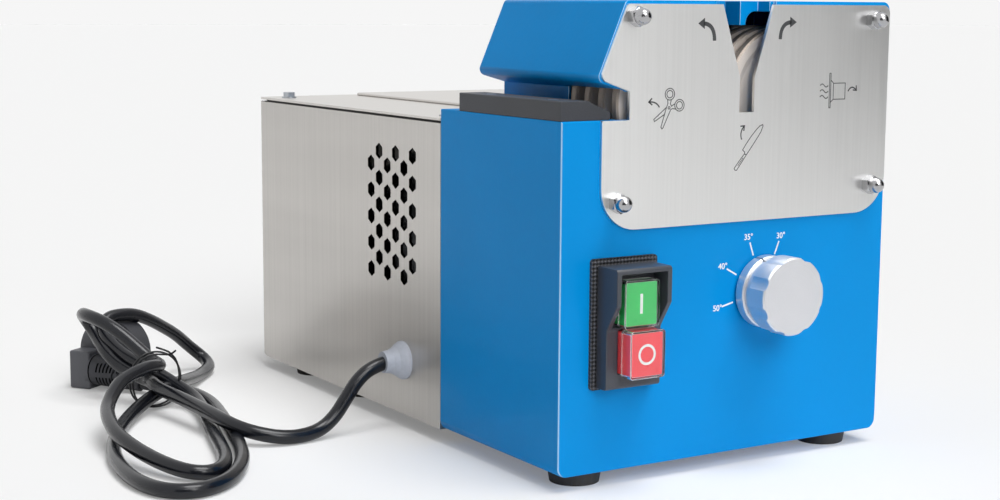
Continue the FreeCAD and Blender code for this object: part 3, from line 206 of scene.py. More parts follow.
class Wiring:
    """A node tree, with one way to add and link its nodes."""

    def __init__(self, tree):
        self.nodes = tree.nodes
        self.links = tree.links

    def put(self, socket, value):
        """Links a signal to a socket, or sets the socket's own value."""
        if isinstance(value, Signal):
            self.links.new(value.socket, socket)
        else:
            socket.default_value = value

    def node(self, kind, settings=None, inputs=None, output=0):
        """Adds a node, with its settings first, and gives one of its outputs."""
        made = self.nodes.new(kind)
        for key, value in (settings or {}).items():
            setattr(made, key, value)
        for key, value in (inputs or {}).items():
            self.put(made.inputs[key], value)
        return Signal(self, made.outputs[output])

    def maths(self, operation, *values):
        """Adds a Math node."""
        return self.node("ShaderNodeMath", {"operation": operation}, dict(enumerate(values)))


class Finish(Wiring):
    """A material with one principled shader and the nodes that feed it."""

    def __init__(self, name, **constants):
        self.material = bpy.data.materials.new(name)
        self.material.use_nodes = True
        super().__init__(self.material.node_tree)
        self.shader = self.nodes["Principled BSDF"]
        for key, value in constants.items():
            self.feed(key.replace("_", " ").title().replace("Ior", "IOR"), value)
        self.place = self.node("ShaderNodeTexCoord", output="Object")

    def feed(self, name, value):
        """Gives a socket of the shader its number, colour or signal."""
        self.put(self.shader.inputs[name], value)

    def mix(self, factor, first, second):
        """From the first colour to the second. A Mix node has its colours in 6 and 7, and in output 2."""
        return self.node("ShaderNodeMix", {"data_type": "RGBA"}, {0: factor, 6: first, 7: second}, 2)

    def facings(self):
        """How far the surface faces right, back and up, from -1 to 1."""
        normal = Signal(self, self.place.socket.node.outputs["Normal"])
        return [self.node("ShaderNodeSeparateXYZ", None, {0: normal}, way) for way in range(3)]

    def along(self, direction, origin=(0.0, 0.0, 0.0)):
        """Distance along a direction from a point, in metres."""
        offset = self.node("ShaderNodeVectorMath", {"operation": "SUBTRACT"}, {0: self.place, 1: origin})
        return self.node("ShaderNodeVectorMath", {"operation": "DOT_PRODUCT"}, {0: offset, 1: direction}, 1)

    def radius(self, x, z):
        """Distance from a shaft that runs front to back."""
        across, up = self.along((1, 0, 0), (x, 0, 0)), self.along((0, 0, 1), (0, 0, z))
        return (across * across + up * up) ** 0.5

    def grain(self, stretch, detail=2.0):
        """Noise with so many features to the metre across, along and up."""
        scaled = self.node("ShaderNodeVectorMath", {"operation": "MULTIPLY"}, {0: self.place, 1: stretch})
        return self.node("ShaderNodeTexNoise", None, {"Vector": scaled, "Scale": 1.0, "Detail": detail})

    def noise(self, density, detail=2.0):
        """Noise with as many features to the metre each way."""
        return self.grain((density, density, density), detail)

    def rings(self, distance, pitch):
        """Noise that changes with one distance only, as turning marks do."""
        inputs = {"W": distance / pitch, "Scale": 1.0}
        return self.node("ShaderNodeTexNoise", {"noise_dimensions": "1D"}, inputs)

    def ease(self, value, low, high):
        """A soft step from 0 below low to 1 above high."""
        return self.node("ShaderNodeMapRange", {"interpolation_type": "SMOOTHSTEP"},
                         {"Value": value, "From Min": low, "From Max": high})

    def bump(self, height, strength, depth):
        """Tilts the surface as a relief of that height would."""
        inputs = {"Strength": strength, "Distance": depth, "Height": height}
        self.feed("Normal", self.node("ShaderNodeBump", None, inputs))


def toned(colour, factor):
    """A colour made darker or lighter."""
    return tuple(c * factor for c in colour[:3]) + (1.0,)


def powder_coat(name, colour):
    """Glossy paint with the fine ripple of baked powder, and a painted highlight: pale blue-white and
    metallic along its upright rounded edges.
    """
    coat = Finish(name, coat_weight=0.05, coat_roughness=0.1, specular_ior_level=0.08)
    ripple, wave, cloud = coat.noise(620, 3.0), coat.noise(190), coat.noise(14)
    across, ahead = coat.facings()[:2]
    # Painted highlight: where the normal turns between the side and the front, the paint is mixed to pale
    # blue-white and made metallic.
    edge = coat.ease(abs(across * ahead), 0.12, 0.45) * 0.75
    flat = coat.mix(cloud, toned(colour, 0.93), toned(colour, 1.05))
    coat.feed("Base Color", coat.mix(edge, flat, shade("C4E4FA")))
    coat.feed("Metallic", edge)
    coat.feed("Roughness", 0.3 + ripple * 0.14)
    coat.bump(ripple + wave * 0.8, strength=0.16, depth=0.4 * mm)
    return coat.material


def painted_recess_shade(sheet):
    """Where shade is painted on the rear cover: in the gap under its lid and on the cut edges of its vents.
    """
    lid_gap, side_depth = 1.6 * mm, 3.0 * mm
    vents_middle, half_length, half_height = (0.0, 0.070, 0.120), 0.120, 0.070
    gap = sheet.along((0, 0, 1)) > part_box("rear_lid")[0].z - lid_gap
    side = abs(sheet.along((1, 0, 0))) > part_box("rear_cover")[1].x - side_depth
    back, up = (sheet.along(way, vents_middle) for way in ((0, 1, 0), (0, 0, 1)))
    vents = side * (abs(back) < half_length) * (abs(up) < half_height)
    cut = abs(sheet.facings()[0]) < 0.5
    return sheet.maths("MAXIMUM", gap, vents * cut)


def brushed_sheet(name, colour, stretch, bands, contrast, shadowed=None):
    """Stainless sheet with a straight grain and broad soft bands, which on the rear cover run level as a
    painted blurred reflection, and painted shade, near black, where a mask says so.
    """
    sheet = Finish(name, metallic=1.0)
    line, cloud = sheet.grain(stretch, 4.0), sheet.grain(bands)
    shine = line * 0.5 + cloud * 0.5
    steel = sheet.mix(shine, toned(colour, 1 - contrast), toned(colour, 1 + 0.6 * contrast))
    # Painted shade: where the mask is set, the steel is mixed to near black.
    sheet.feed("Base Color", sheet.mix(shadowed(sheet), steel, shade("16130F")) if shadowed else steel)
    sheet.feed("Roughness", 0.24 + line * 0.16 + cloud * 0.06)
    sheet.bump(line, strength=0.09, depth=0.12 * mm)
    return sheet.material


def plated(name, colour, roughness, blotch=0.12):
    """Plated or machined metal with faint blotches."""
    metal = Finish(name, metallic=1.0)
    cloud, fine = metal.noise(160, 4.0), metal.noise(1500)
    metal.feed("Base Color", metal.mix(cloud, toned(colour, 1 - blotch), toned(colour, 1 + blotch / 2)))
    metal.feed("Roughness", roughness - 0.05 + fine * 0.12)
    metal.bump(fine, strength=0.05, depth=0.1 * mm)
    return metal.material


def cast_metal(name, colour):
    """Sand-cast metal, dull and pitted."""
    cast = Finish(name, metallic=0.9)
    pits = cast.noise(420, 5.0)
    cast.feed("Base Color", cast.mix(pits, toned(colour, 0.7), toned(colour, 1.1)))
    cast.feed("Roughness", 0.45 + pits * 0.2)
    cast.bump(pits, strength=0.35, depth=0.4 * mm)
    return cast.material


def moulded(name, colour, roughness, density=900, relief=0.2, lift=1.25, gloss=0.45):
    """Moulded plastic or rubber with a fine spark-eroded skin."""
    skin = Finish(name, specular_ior_level=gloss)
    speck, cloud = skin.noise(density, 3.0), skin.noise(25)
    skin.feed("Base Color", skin.mix(speck * 0.6 + cloud * 0.4, toned(colour, 0.78), toned(colour, lift)))
    skin.feed("Roughness", roughness - 0.06 + speck * 0.14)
    skin.bump(speck, strength=relief, depth=0.3 * mm)
    return skin.material


def glossy_cap(name, colour):
    """Bright glossy push-button plastic."""
    cap = Finish(name, coat_weight=0.5, coat_roughness=0.05)
    cloud = cap.noise(90)
    cap.feed("Base Color", cap.mix(cloud, toned(colour, 0.9), toned(colour, 1.08)))
    cap.feed("Roughness", 0.25 + cloud * 0.08)
    return cap.material


def clear_film(name):
    """Clear plastic of the boots over the buttons, with a painted highlight: partly metallic, so silvery,
    along its rounded edges.
    """
    film = Finish(name, base_color=(0.97, 0.98, 0.98, 1), transmission_weight=1.0, ior=1.28)
    haze = film.noise(260)
    across, ahead, up = film.facings()
    # Painted highlight: the rounded edges are made partly metallic so that they show as silvery lines.
    edge = film.ease(abs(across * ahead) + abs(ahead * up) + abs(across * up), 0.1, 0.4)
    film.feed("Metallic", edge * 0.6)
    film.feed("Roughness", 0.02 + haze * 0.07)
    film.bump(haze, strength=0.05, depth=0.3 * mm)
    return film.material


def grinding_wheel(name, x, z, rim_start):
    """Polished disc sides and an abrasive rim."""
    wheel = Finish(name)
    out = wheel.radius(x, z)
    rim = wheel.ease(out, rim_start - 0.2 * mm, rim_start + 0.4 * mm)
    grit, turning = wheel.noise(2600, 3.0), wheel.rings(out, 0.4 * mm)
    side = wheel.mix(turning, shade("E2D6CA"), shade("F4EAE0"))
    band = wheel.mix(grit, shade("7E736A"), shade("C6BAAE"))
    wheel.feed("Base Color", wheel.mix(rim, side, band))
    wheel.feed("Metallic", 0.1 + rim * 0.6)
    wheel.feed("Roughness", 0.26 + rim * 0.26 + turning * 0.08)
    wheel.bump(grit * rim + turning * 0.3, strength=0.3, depth=0.3 * mm)
    return wheel.material


def turned_knob(name, colour, x, z):
    """Satin metal knob with the rings that a lathe leaves."""
    knob = Finish(name, metallic=0.8)
    ring, cloud = knob.rings(knob.radius(x, z), 0.35 * mm), knob.noise(60)
    knob.feed("Base Color", knob.mix(ring * 0.6 + cloud * 0.4, toned(colour, 0.84), toned(colour, 1.04)))
    knob.feed("Roughness", 0.34 + ring * 0.14)
    knob.bump(ring, strength=0.12, depth=0.1 * mm)
    return knob.material


def knurled_rubber(name, colour):
    """Rubber with crossed ribs, as on the gasket's edge, with painted highlights on the ribs' tops and
    painted shade between them.
    """
    rib = Finish(name)
    pitch = 4.6 * mm
    rise, fall = (rib.along(way) * (math.tau / pitch) for way in ((1, 1, 1), (1, 2, -1)))
    cross = rib.maths("SINE", rise) * rib.maths("SINE", fall)
    speck = rib.noise(900)
    # Painted light: the ribs' tops are made four times lighter and the furrows five times darker than the
    # rubber.
    rib.feed("Base Color", rib.mix(rib.ease(cross, -0.6, 0.8), toned(colour, 0.2), toned(colour, 4.0)))
    rib.feed("Roughness", 0.5 + speck * 0.2)
    rib.bump(cross + speck * 0.2, strength=0.8, depth=0.7 * mm)
    return rib.material


def printed_ink(name, colour):
    """Slightly uneven screen print."""
    ink = Finish(name)
    wear = ink.noise(700)
    ink.feed("Base Color", ink.mix(wear, toned(colour, 0.9), toned(colour, 1.05)))
    ink.feed("Roughness", 0.42 + wear * 0.12)
    return ink.material


def dress(finish, *names):
    """Gives solids of the frame a finish."""
    for name in names:
        held = frame["nodes"][name].data.materials
        held.clear()
        held.append(finish)


def soften(width, *names):
    """Rounds the sharp edges of solids, as bending and moulding leave them."""
    same_corner, flat_turn, sharp_turn = 0.002 * mm, math.radians(0.5), math.radians(38)
    for name in names:
        modifiers = frame["nodes"][name].modifiers
        modifiers.new("joined_corners", "WELD").merge_threshold = same_corner
        whole = modifiers.new("whole_faces", "DECIMATE")
        whole.decimate_type, whole.angle_limit = "DISSOLVE", flat_turn
        edge = modifiers.new("soft_edges", "BEVEL")
        edge.width, edge.segments = width, 3
        edge.limit_method, edge.angle_limit = "ANGLE", sharp_turn
        edge.harden_normals, edge.use_clamp_overlap = True, False


def belongs(piece, body, finish):
    """Puts a new piece on its body, with its finish."""
    piece.data.materials.append(finish)
    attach(piece, body)
    return piece


def add(name, data):
    """Puts a new object into the scene."""
    piece = bpy.data.objects.new(name, data)
    bpy.context.scene.collection.objects.link(piece)
    return piece


class Print:
    """Flat marks on an upright sheet, drawn in millimetres across and up."""

    def __init__(self, face):
        self.mesh = bmesh.new()
        self.face = face

    def corners(self, points):
        """Front and back corner rows of a shape."""
        depths = (self.face - print_height, self.face)
        return [[self.mesh.verts.new((x * mm, y, z * mm)) for x, z in points] for y in depths]

    def patch(self, points):
        """A filled shape."""
        front, back = self.corners(points)
        self.mesh.faces.new(front)
        self.mesh.faces.new(back[::-1])
        for i in range(len(points)):
            self.mesh.faces.new((front[i - 1], back[i - 1], back[i], front[i]))

    def line(self, points, width, closed=False):
        """A line of one width through points, with corners that are mitred up to a limit."""
        turned_back, mitre_limit = 0.2, 0.6
        path = [Vector(p) for p in points]
        left, right = [], []
        for i, here in enumerate(path):
            into = (here - path[i - 1]) if closed or i else (path[1] - here)
            out = (path[(i + 1) % len(path)] - here) if closed or i < len(path) - 1 else into
            into, out = into.normalized(), out.normalized()
            way = (into + out).normalized() if (into + out).length > turned_back else out
            across = Vector((-way.y, way.x))
            reach = 0.5 * width / mm / max(mitre_limit, across.dot(Vector((-out.y, out.x))))
            left.append(here + across * reach)
            right.append(here - across * reach)
        for i in range(0 if closed else 1, len(path)):
            self.patch([left[i - 1], right[i - 1], right[i], left[i]])

    def arc(self, centre, radius, width, start=0.0, turn=360.0, steps=28):
        """A round line, angles in degrees."""
        angles = [math.radians(start + turn * i / steps) for i in range(steps + (turn < 360))]
        points = [(centre[0] + radius * math.cos(a), centre[1] + radius * math.sin(a)) for a in angles]
        self.line(points, width, turn >= 360)

    def bend(self, start, pull, end, width, steps=10):
        """A curved line that leans towards one pulling point."""
        a, b, c = Vector(start), Vector(pull), Vector(end)
        shares = [i / steps for i in range(steps + 1)]
        self.line([a * (1 - t) ** 2 + b * 2 * t * (1 - t) + c * t * t for t in shares], width)

    def piece(self, name, body, slot, finish):
        """The marks as one piece on a body."""
        bmesh.ops.recalc_face_normals(self.mesh, faces=self.mesh.faces)
        data = bpy.data.meshes.new(name)
        self.mesh.to_mesh(data)
        self.mesh.free()
        return belongs(add(name, data), body, finish)


def figures(text, height, x, z, face):
    """Lettering as a mesh that stands on an upright sheet."""
    capital_share, boldness = 0.7, 1 / 40
    data = bpy.data.curves.new("figures", "FONT")
    data.body, data.size, data.offset = text, height / capital_share, height * boldness
    data.extrude = print_height / 2
    data.align_x, data.align_y = "CENTER", "CENTER"
    source = bpy.data.objects.new("figures", data)
    mesh = bpy.data.meshes.new_from_object(source)
    upright = Matrix.Rotation(math.pi / 2, 4, "X")
    mesh.transform(Matrix.Translation((x, face - print_height / 2, z)) @ upright)
    bpy.data.objects.remove(source)
    bpy.data.curves.remove(data)
    return mesh


class SHARPENER_OT_stage(bpy.types.Operator):
    """Make the camera, the floor, the backdrop and the lamps"""

    bl_idname = "sharpener.stage"
    bl_label = "Stage"

    def execute(self, context):
        light = context.scene.sharpener_light
        self.camera(context.scene)
        self.floor(light)
        self.backdrop(context.scene, light)
        cloth = moulded("flag_cloth", shade("303030"), roughness=0.9)
        self.flag("right_flag", cloth, middle=(1.30, -0.75, 0.55), half=(0.12, 0.85))
        self.flag("camera_flag", cloth, middle=(-1.20, -1.85, 0.70), half=(0.75, -0.50))
        self.lamp("front_lamp", light.front, direction=(0.12, 0.82, -0.56), width=36)
        self.lamp("top_lamp", light.top, direction=(-0.12, 0.28, -1.0), width=34)
        slot = (0.007, plate_face, 0.226)
        self.snoot("slot_lamp", light.slot, target=slot, offset=(-0.50, -0.84, 0.10), reach=0.045)
        context.scene.view_settings.view_transform = "Standard"
        return {"FINISHED"}

    def camera(self, scene):
        """A camera where the photograph was taken from, with the same view."""
        place = Vector((-0.6396, -0.96655, 0.2717))
        yaw, pitch, roll = (math.radians(angle) for angle in (31.70, 8.10, 0.364))
        data = bpy.data.cameras.new("photo_camera")
        data.lens, data.sensor_width = 61.93, 36.0
        data.clip_start, data.clip_end = 0.01, 100.0
        ahead = Vector((math.sin(yaw) * math.cos(pitch), math.cos(yaw) * math.cos(pitch), -math.sin(pitch)))
        level_right = Vector((math.cos(yaw), -math.sin(yaw), 0.0))
        level_up = level_right.cross(ahead)
        right = level_right * math.cos(roll) + level_up * math.sin(roll)
        up = level_up * math.cos(roll) - level_right * math.sin(roll)
        turn = Matrix((right, up, -ahead)).transposed().to_4x4()
        camera = add("photo_camera", data)
        camera.matrix_world = Matrix.Translation(place) @ turn
        scene.camera = camera

    def floor(self, light):
        """A wide paper floor, whose shadows the camera sees lifted towards the backdrop."""
        half = 20.0
        corners = [(-half, -half, 0), (half, -half, 0), (half, half, 0), (-half, half, 0)]
        data = bpy.data.meshes.new("studio_floor")
        data.from_pydata(corners, [], [(0, 1, 2, 3)])
        paper = Finish("floor_paper", roughness=0.9, specular_ior_level=0.0)
        fibre = paper.noise(40)
        paper.feed("Base Color", paper.mix(fibre, toned(light.floor, 0.995), light.floor))
        glow = paper.node("ShaderNodeEmission", None, {"Color": light.backdrop})
        seen = paper.node("ShaderNodeLightPath", output="Is Camera Ray")
        lit = Signal(paper, paper.shader.outputs[0])
        blend = paper.node("ShaderNodeMixShader", None, {0: seen * light.fill, 1: lit, 2: glow})
        paper.put(paper.nodes["Material Output"].inputs["Surface"], blend)
        data.materials.append(paper.material)
        add("studio_floor", data)

    def backdrop(self, scene, light):
        """Even white light, and the backdrop's colour to the camera, in gloss and through clear pieces."""
        scene.world = bpy.data.worlds.new("studio")
        scene.world.use_nodes = True
        studio = Wiring(scene.world.node_tree)
        sky = studio.nodes["Background"]
        studio.put(sky.inputs["Color"], (1, 1, 1, 1))
        studio.put(sky.inputs["Strength"], light.sky)
        shown = studio.node("ShaderNodeBackground", None, {"Color": light.backdrop})
        camera, gloss, through = (studio.node("ShaderNodeLightPath", output=ray) for ray in (
            "Is Camera Ray", "Is Glossy Ray", "Is Transmission Ray"))
        seen = studio.maths("MAXIMUM", studio.maths("MAXIMUM", camera, gloss), through)
        white = Signal(studio, sky.outputs[0])
        blend = studio.node("ShaderNodeMixShader", None, {0: seen, 1: white, 2: shown})
        studio.put(studio.nodes["World Output"].inputs["Surface"], blend)

    def flag(self, name, cloth, middle, half):
        """A dark upright card that shows only in reflections, as a studio hangs beside bright metal."""
        middle, half = Vector(middle), Vector((*half, 0.0))
        rise = Vector((0.0, 0.0, 1.3 * middle.z))
        drop = rise * 0.7
        corners = [middle - half - drop, middle + half - drop, middle + half + rise, middle - half + rise]
        data = bpy.data.meshes.new(name)
        data.from_pydata(corners, [], [(0, 1, 2, 3)])
        data.materials.append(cloth)
        card = add(name, data)
        card.visible_camera = card.visible_diffuse = card.visible_shadow = card.visible_transmission = False

    def snoot(self, name, strength, target, offset, reach):
        """A small soft beam on one spot, here into the slot where the discs meet."""
        target, offset = Vector(target), Vector(offset)
        data = bpy.data.lights.new(name, "SPOT")
        data.energy, data.shadow_soft_size, data.spot_blend = strength, 0.05, 0.4
        data.spot_size = 2 * math.atan(reach / offset.length)
        beam = add(name, data)
        beam.rotation_euler = (-offset).to_track_quat("-Z", "Y").to_euler()
        beam.location = target + offset

    def lamp(self, name, strength, direction, width):
        """A soft lamp far away, as wide as an angle in degrees."""
        data = bpy.data.lights.new(name, "SUN")
        data.energy, data.angle = strength, math.radians(width)
        add(name, data).rotation_euler = Vector(direction).to_track_quat("-Z", "Y").to_euler()


cord_route = (
    (-131.0, -7.25, 44.6), (-143.0, -7.3, 42.4), (-153.5, -7.4, 34.8), (-161.3, -7.7, 24.4),
    (-169.4, -8.2, 13.6), (-180.0, -9.2, 6.4), (-193.4, -11.3, 4.6), (-206.4, -11.2, 5.2),
    (-218.6, -7.2, 7.6), (-228.2, 1.6, 10.4), (-233.6, 14.2, 13.0), (-235.8, 32.2, 14.8),
    (-237.4, 58.0, 15.6), (-240.2, 84.0, 16.6), (-243.6, 106.0, 17.5),
)
hank_route = (
    (-243.5, 119.0, 19.5), (-240.7, 130.0, 17.8), (-245.1, 141.0, 19.6), (-250.2, 151.0, 22.7),
    (-254.9, 160.0, 26.9), (-257.7, 169.0, 32.3), (-257.6, 180.0, 36.0), (-257.4, 189.5, 40.5),
    (-259.0, 196.3, 46.0), (-262.7, 196.6, 52.3), (-266.5, 190.5, 56.5), (-269.0, 180.5, 58.5),
    (-269.2, 170.0, 59.0), (-266.5, 160.0, 58.0), (-262.0, 151.0, 55.2), (-255.5, 142.0, 49.4),
    (-249.7, 135.0, 42.8), (-244.8, 128.0, 36.9), (-241.0, 122.0, 33.1), (-239.9, 115.0, 32.2),
    (-241.8, 108.0, 32.8), (-246.9, 101.0, 34.1), (-253.5, 96.0, 35.1), (-261.5, 92.0, 34.3),
    (-270.2, 88.0, 32.4), (-279.9, 81.0, 29.8), (-294.0, 63.0, 20.5), (-302.0, 36.0, 18.0),
    (-306.0, 8.0, 15.0), (-302.5, -20.0, 11.0), (-296.0, -45.0, 8.0), (-287.0, -61.0, 6.0),
    (-275.0, -64.0, 5.0), (-264.0, -54.0, 4.8), (-254.5, -34.0, 4.8), (-247.0, -8.0, 4.8),
    (-239.5, 20.0, 4.8), (-229.5, 55.0, 5.0), (-221.0, 86.0, 6.5), (-219.0, 106.0, 9.5),
    (-225.0, 121.0, 15.0), (-234.0, 135.0, 22.0), (-245.6, 150.0, 28.8), (-250.1, 163.0, 33.5),
    (-252.8, 173.0, 38.0), (-254.5, 181.5, 43.5), (-252.5, 188.5, 49.0), (-246.5, 192.5, 52.8),
    (-237.0, 194.5, 53.2), (-226.0, 198.0, 51.8), (-213.5, 203.5, 46.0), (-200.0, 212.0, 38.0),
    (-187.0, 220.0, 29.5), (-178.5, 225.0, 22.0), (-171.0, 227.5, 15.5), (-165.5, 225.5, 10.4),
    (-163.5, 218.5, 7.0), (-166.0, 209.5, 5.4), (-172.5, 199.5, 5.0), (-184.0, 185.0, 5.0),
    (-201.7, 159.9, 9.0), (-220.0, 133.9, 13.5), (-233.7, 119.5, 14.0), (-246.8, 111.9, 11.0),
    (-260.0, 100.0, 8.0), (-274.0, 82.0, 6.0), (-289.0, 57.0, 5.0), (-302.0, 28.0, 4.8),
    (-312.0, -2.0, 4.8), (-318.0, -38.0, 4.8), (-318.0, -68.0, 4.8), (-310.0, -88.0, 4.8),
    (-293.0, -95.0, 4.8), (-270.0, -81.0, 4.8), (-249.0, -48.0, 4.8), (-236.0, -12.0, 4.8),
    (-226.0, 25.0, 4.8), (-217.0, 62.0, 4.8), (-209.0, 95.0, 4.8), (-207.0, 124.0, 5.0),
    (-213.0, 146.0, 5.5), (-223.0, 161.0, 6.5), (-231.3, 171.7, 7.4),
)
tie_route = (
    (-232.0, 104.0, 42.5), (-233.5, 109.0, 39.0), (-236.0, 114.0, 38.5), (-246.0, 116.0, 39.5),
    (-255.5, 117.0, 33.0), (-258.0, 118.5, 20.0), (-254.0, 119.0, 6.0), (-243.0, 119.5, 1.6),
    (-230.0, 120.0, 3.0), (-222.5, 121.0, 13.0), (-222.0, 121.5, 26.0), (-228.0, 122.0, 36.0),
    (-239.0, 122.5, 40.0), (-250.0, 123.0, 37.5), (-257.5, 123.5, 27.0), (-257.0, 124.5, 12.0),
    (-249.0, 125.0, 2.6), (-236.0, 124.5, 1.4), (-226.0, 123.0, 7.0), (-223.5, 119.0, 20.0),
    (-227.0, 114.0, 33.0), (-233.0, 110.0, 40.0), (-240.0, 104.0, 44.0), (-247.0, 99.0, 47.0),
)


def soft_line(name, points, diameter):
    """A round wire or sheath along one smooth line."""
    data = bpy.data.curves.new(name, "CURVE")
    data.dimensions = "3D"
    data.bevel_depth, data.bevel_resolution = diameter / 2, 6
    data.resolution_u, data.use_fill_caps = 8, True
    line = data.splines.new("NURBS")
    line.points.add(len(points) - 1)
    for point, (x, y, z) in zip(line.points, points):
        point.co = (x * mm, y * mm, z * mm, 1.0)
    line.order_u, line.use_endpoint_u = 3, True
    return add(name, data)


def plug_finish(name, colour):
    """Moulded plug: a paler grip, and painted shade, near black, along the parting line and in two rows of
    slots, which a bump also sinks.
    """
    plug = Finish(name, specular_ior_level=0.5)
    corner, turn = (-0.270, 0.213, 0.0), math.radians(35)
    slot_pitch, slots_start, slots_end = 2.6 * mm, 22.5 * mm, 40.0 * mm
    upper_row, lower_row, half_row = 16.9 * mm, 7.4 * mm, 3.0 * mm
    seam_at, half_seam, marked_depth = 18.0 * mm, 0.5 * mm, 26.0 * mm
    grip_depth, grip_end = 18.5 * mm, 17.5 * mm
    out = plug.along((math.cos(turn), math.sin(turn), 0), corner)
    side = plug.along((math.sin(turn), -math.cos(turn), 0), corner)
    up = plug.along((0, 0, 1))
    speck = plug.noise(1000, 3.0)
    bars = plug.maths("SINE", side * (math.tau / slot_pitch)) > 0.1
    slots = bars * (side > slots_start) * (side < slots_end)
    rows = (abs(up - upper_row) < half_row) + (abs(up - lower_row) < half_row)
    seam = abs(side - seam_at) < half_seam
    # Painted shade: the slots and the parting line are made near black and metallic, so they show no light.
    groove_shade = plug.maths("MAXIMUM", slots * rows, seam) * (out < marked_depth)
    grip = (out < grip_depth) * (side < grip_end)
    skin = plug.mix(speck, toned(colour, 0.9), toned(colour, 1.4))
    skin = plug.mix(grip * 0.5, skin, shade("66676C"))
    plug.feed("Base Color", plug.mix(groove_shade, skin, shade("060607")))
    plug.feed("Metallic", groove_shade)
    plug.feed("Roughness", 0.42 + speck * 0.14)
    plug.bump(speck * 0.25 - groove_shade, strength=0.5, depth=1.2 * mm)
    return plug.material


class SHARPENER_OT_mains_cord(bpy.types.Operator):
    """Lay the mains cord with its plug, its tie and its gland"""

    bl_idname = "sharpener.mains_cord"
    bl_label = "Mains cord"

    def execute(self, context):
        colours, sizes = context.scene.sharpener_colours, context.scene.sharpener_sizes
        sheath = moulded(
            "cord_sheath", colours.cord, roughness=0.22, density=260, relief=0.012, lift=1.2, gloss=0.42)
        cord = soft_line("mains_cord", cord_route + hank_route, sizes.cord_diameter)
        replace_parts(belongs(cord, "root", sheath), "cord_lead", "cord_hank")
        tie = soft_line("cord_wire_tie", tie_route, sizes.tie_diameter)
        black = moulded("tie_plastic", shade("161618"), roughness=0.35, density=600, relief=0.1)
        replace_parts(belongs(tie, "root", black), "cord_tie")
        dress(plug_finish("plug_rubber", shade("303136")), "plug_body")
        dress(plated("pin_brass", shade("C9A184"), roughness=0.24), "plug_pins")
        gland = moulded("gland_rubber", colours.gland, roughness=0.5, density=500, relief=0.05, lift=1.1)
        dress(gland, "cord_gland")
        return {"FINISHED"}


class SHARPENER_OT_painted_body(bpy.types.Operator):
    """Paint the housing and the hood"""

    bl_idname = "sharpener.painted_body"
    bl_label = "Painted body"

    def execute(self, context):
        colours, sizes = context.scene.sharpener_colours, context.scene.sharpener_sizes
        dress(powder_coat("powder_coat", colours.paint), "front_housing", "upper_hood")
        soften(sizes.sheet_edge, "front_housing")
        soften(sizes.hood_edge, "upper_hood")
        return {"FINISHED"}


class SHARPENER_OT_steel_sheets(bpy.types.Operator):
    """Brush the front plate, the rear cover and the lid, and plate the nuts, the screws and the base"""

    bl_idname = "sharpener.steel_sheets"
    bl_label = "Steel sheets"

    def execute(self, context):
        colours, sizes = context.scene.sharpener_colours, context.scene.sharpener_sizes
        plate = brushed_sheet(
            "plate_steel", colours.plate, stretch=(620, 620, 7), bands=(9, 9, 5), contrast=0.14)
        # On the rear cover the soft bands run level, 26 to the metre upwards, with strong contrast: a painted
        # blurred reflection of horizontal streaks, over the steel's grain.
        cover = brushed_sheet(
            "cover_steel", colours.cover, stretch=(460, 460, 5), bands=(2, 2, 26), contrast=0.3,
            shadowed=painted_recess_shade)
        # Painted light: the lid takes the cover's steel made 12% lighter, so its top shows brighter than the
        # cover's side.
        lid = brushed_sheet(
            "lid_steel_painted_light", toned(colours.cover, 1.12), stretch=(900, 6, 900), bands=(4, 4, 4), contrast=0.14)
        dress(plate, "front_plate")
        dress(cover, "rear_cover")
        dress(lid, "rear_lid", "lid_panel")
        soften(sizes.sheet_edge, "lid_panel")
        dress(plated("dome_nut_nickel", shade("B4B4B6"), roughness=0.16), "dome_nuts")
        zinc = plated("zinc_plate", shade("B9BEC4"), roughness=0.3, blotch=0.2)
        dress(zinc, "screws_and_bolts", "base_plate")
        return {"FINISHED"}


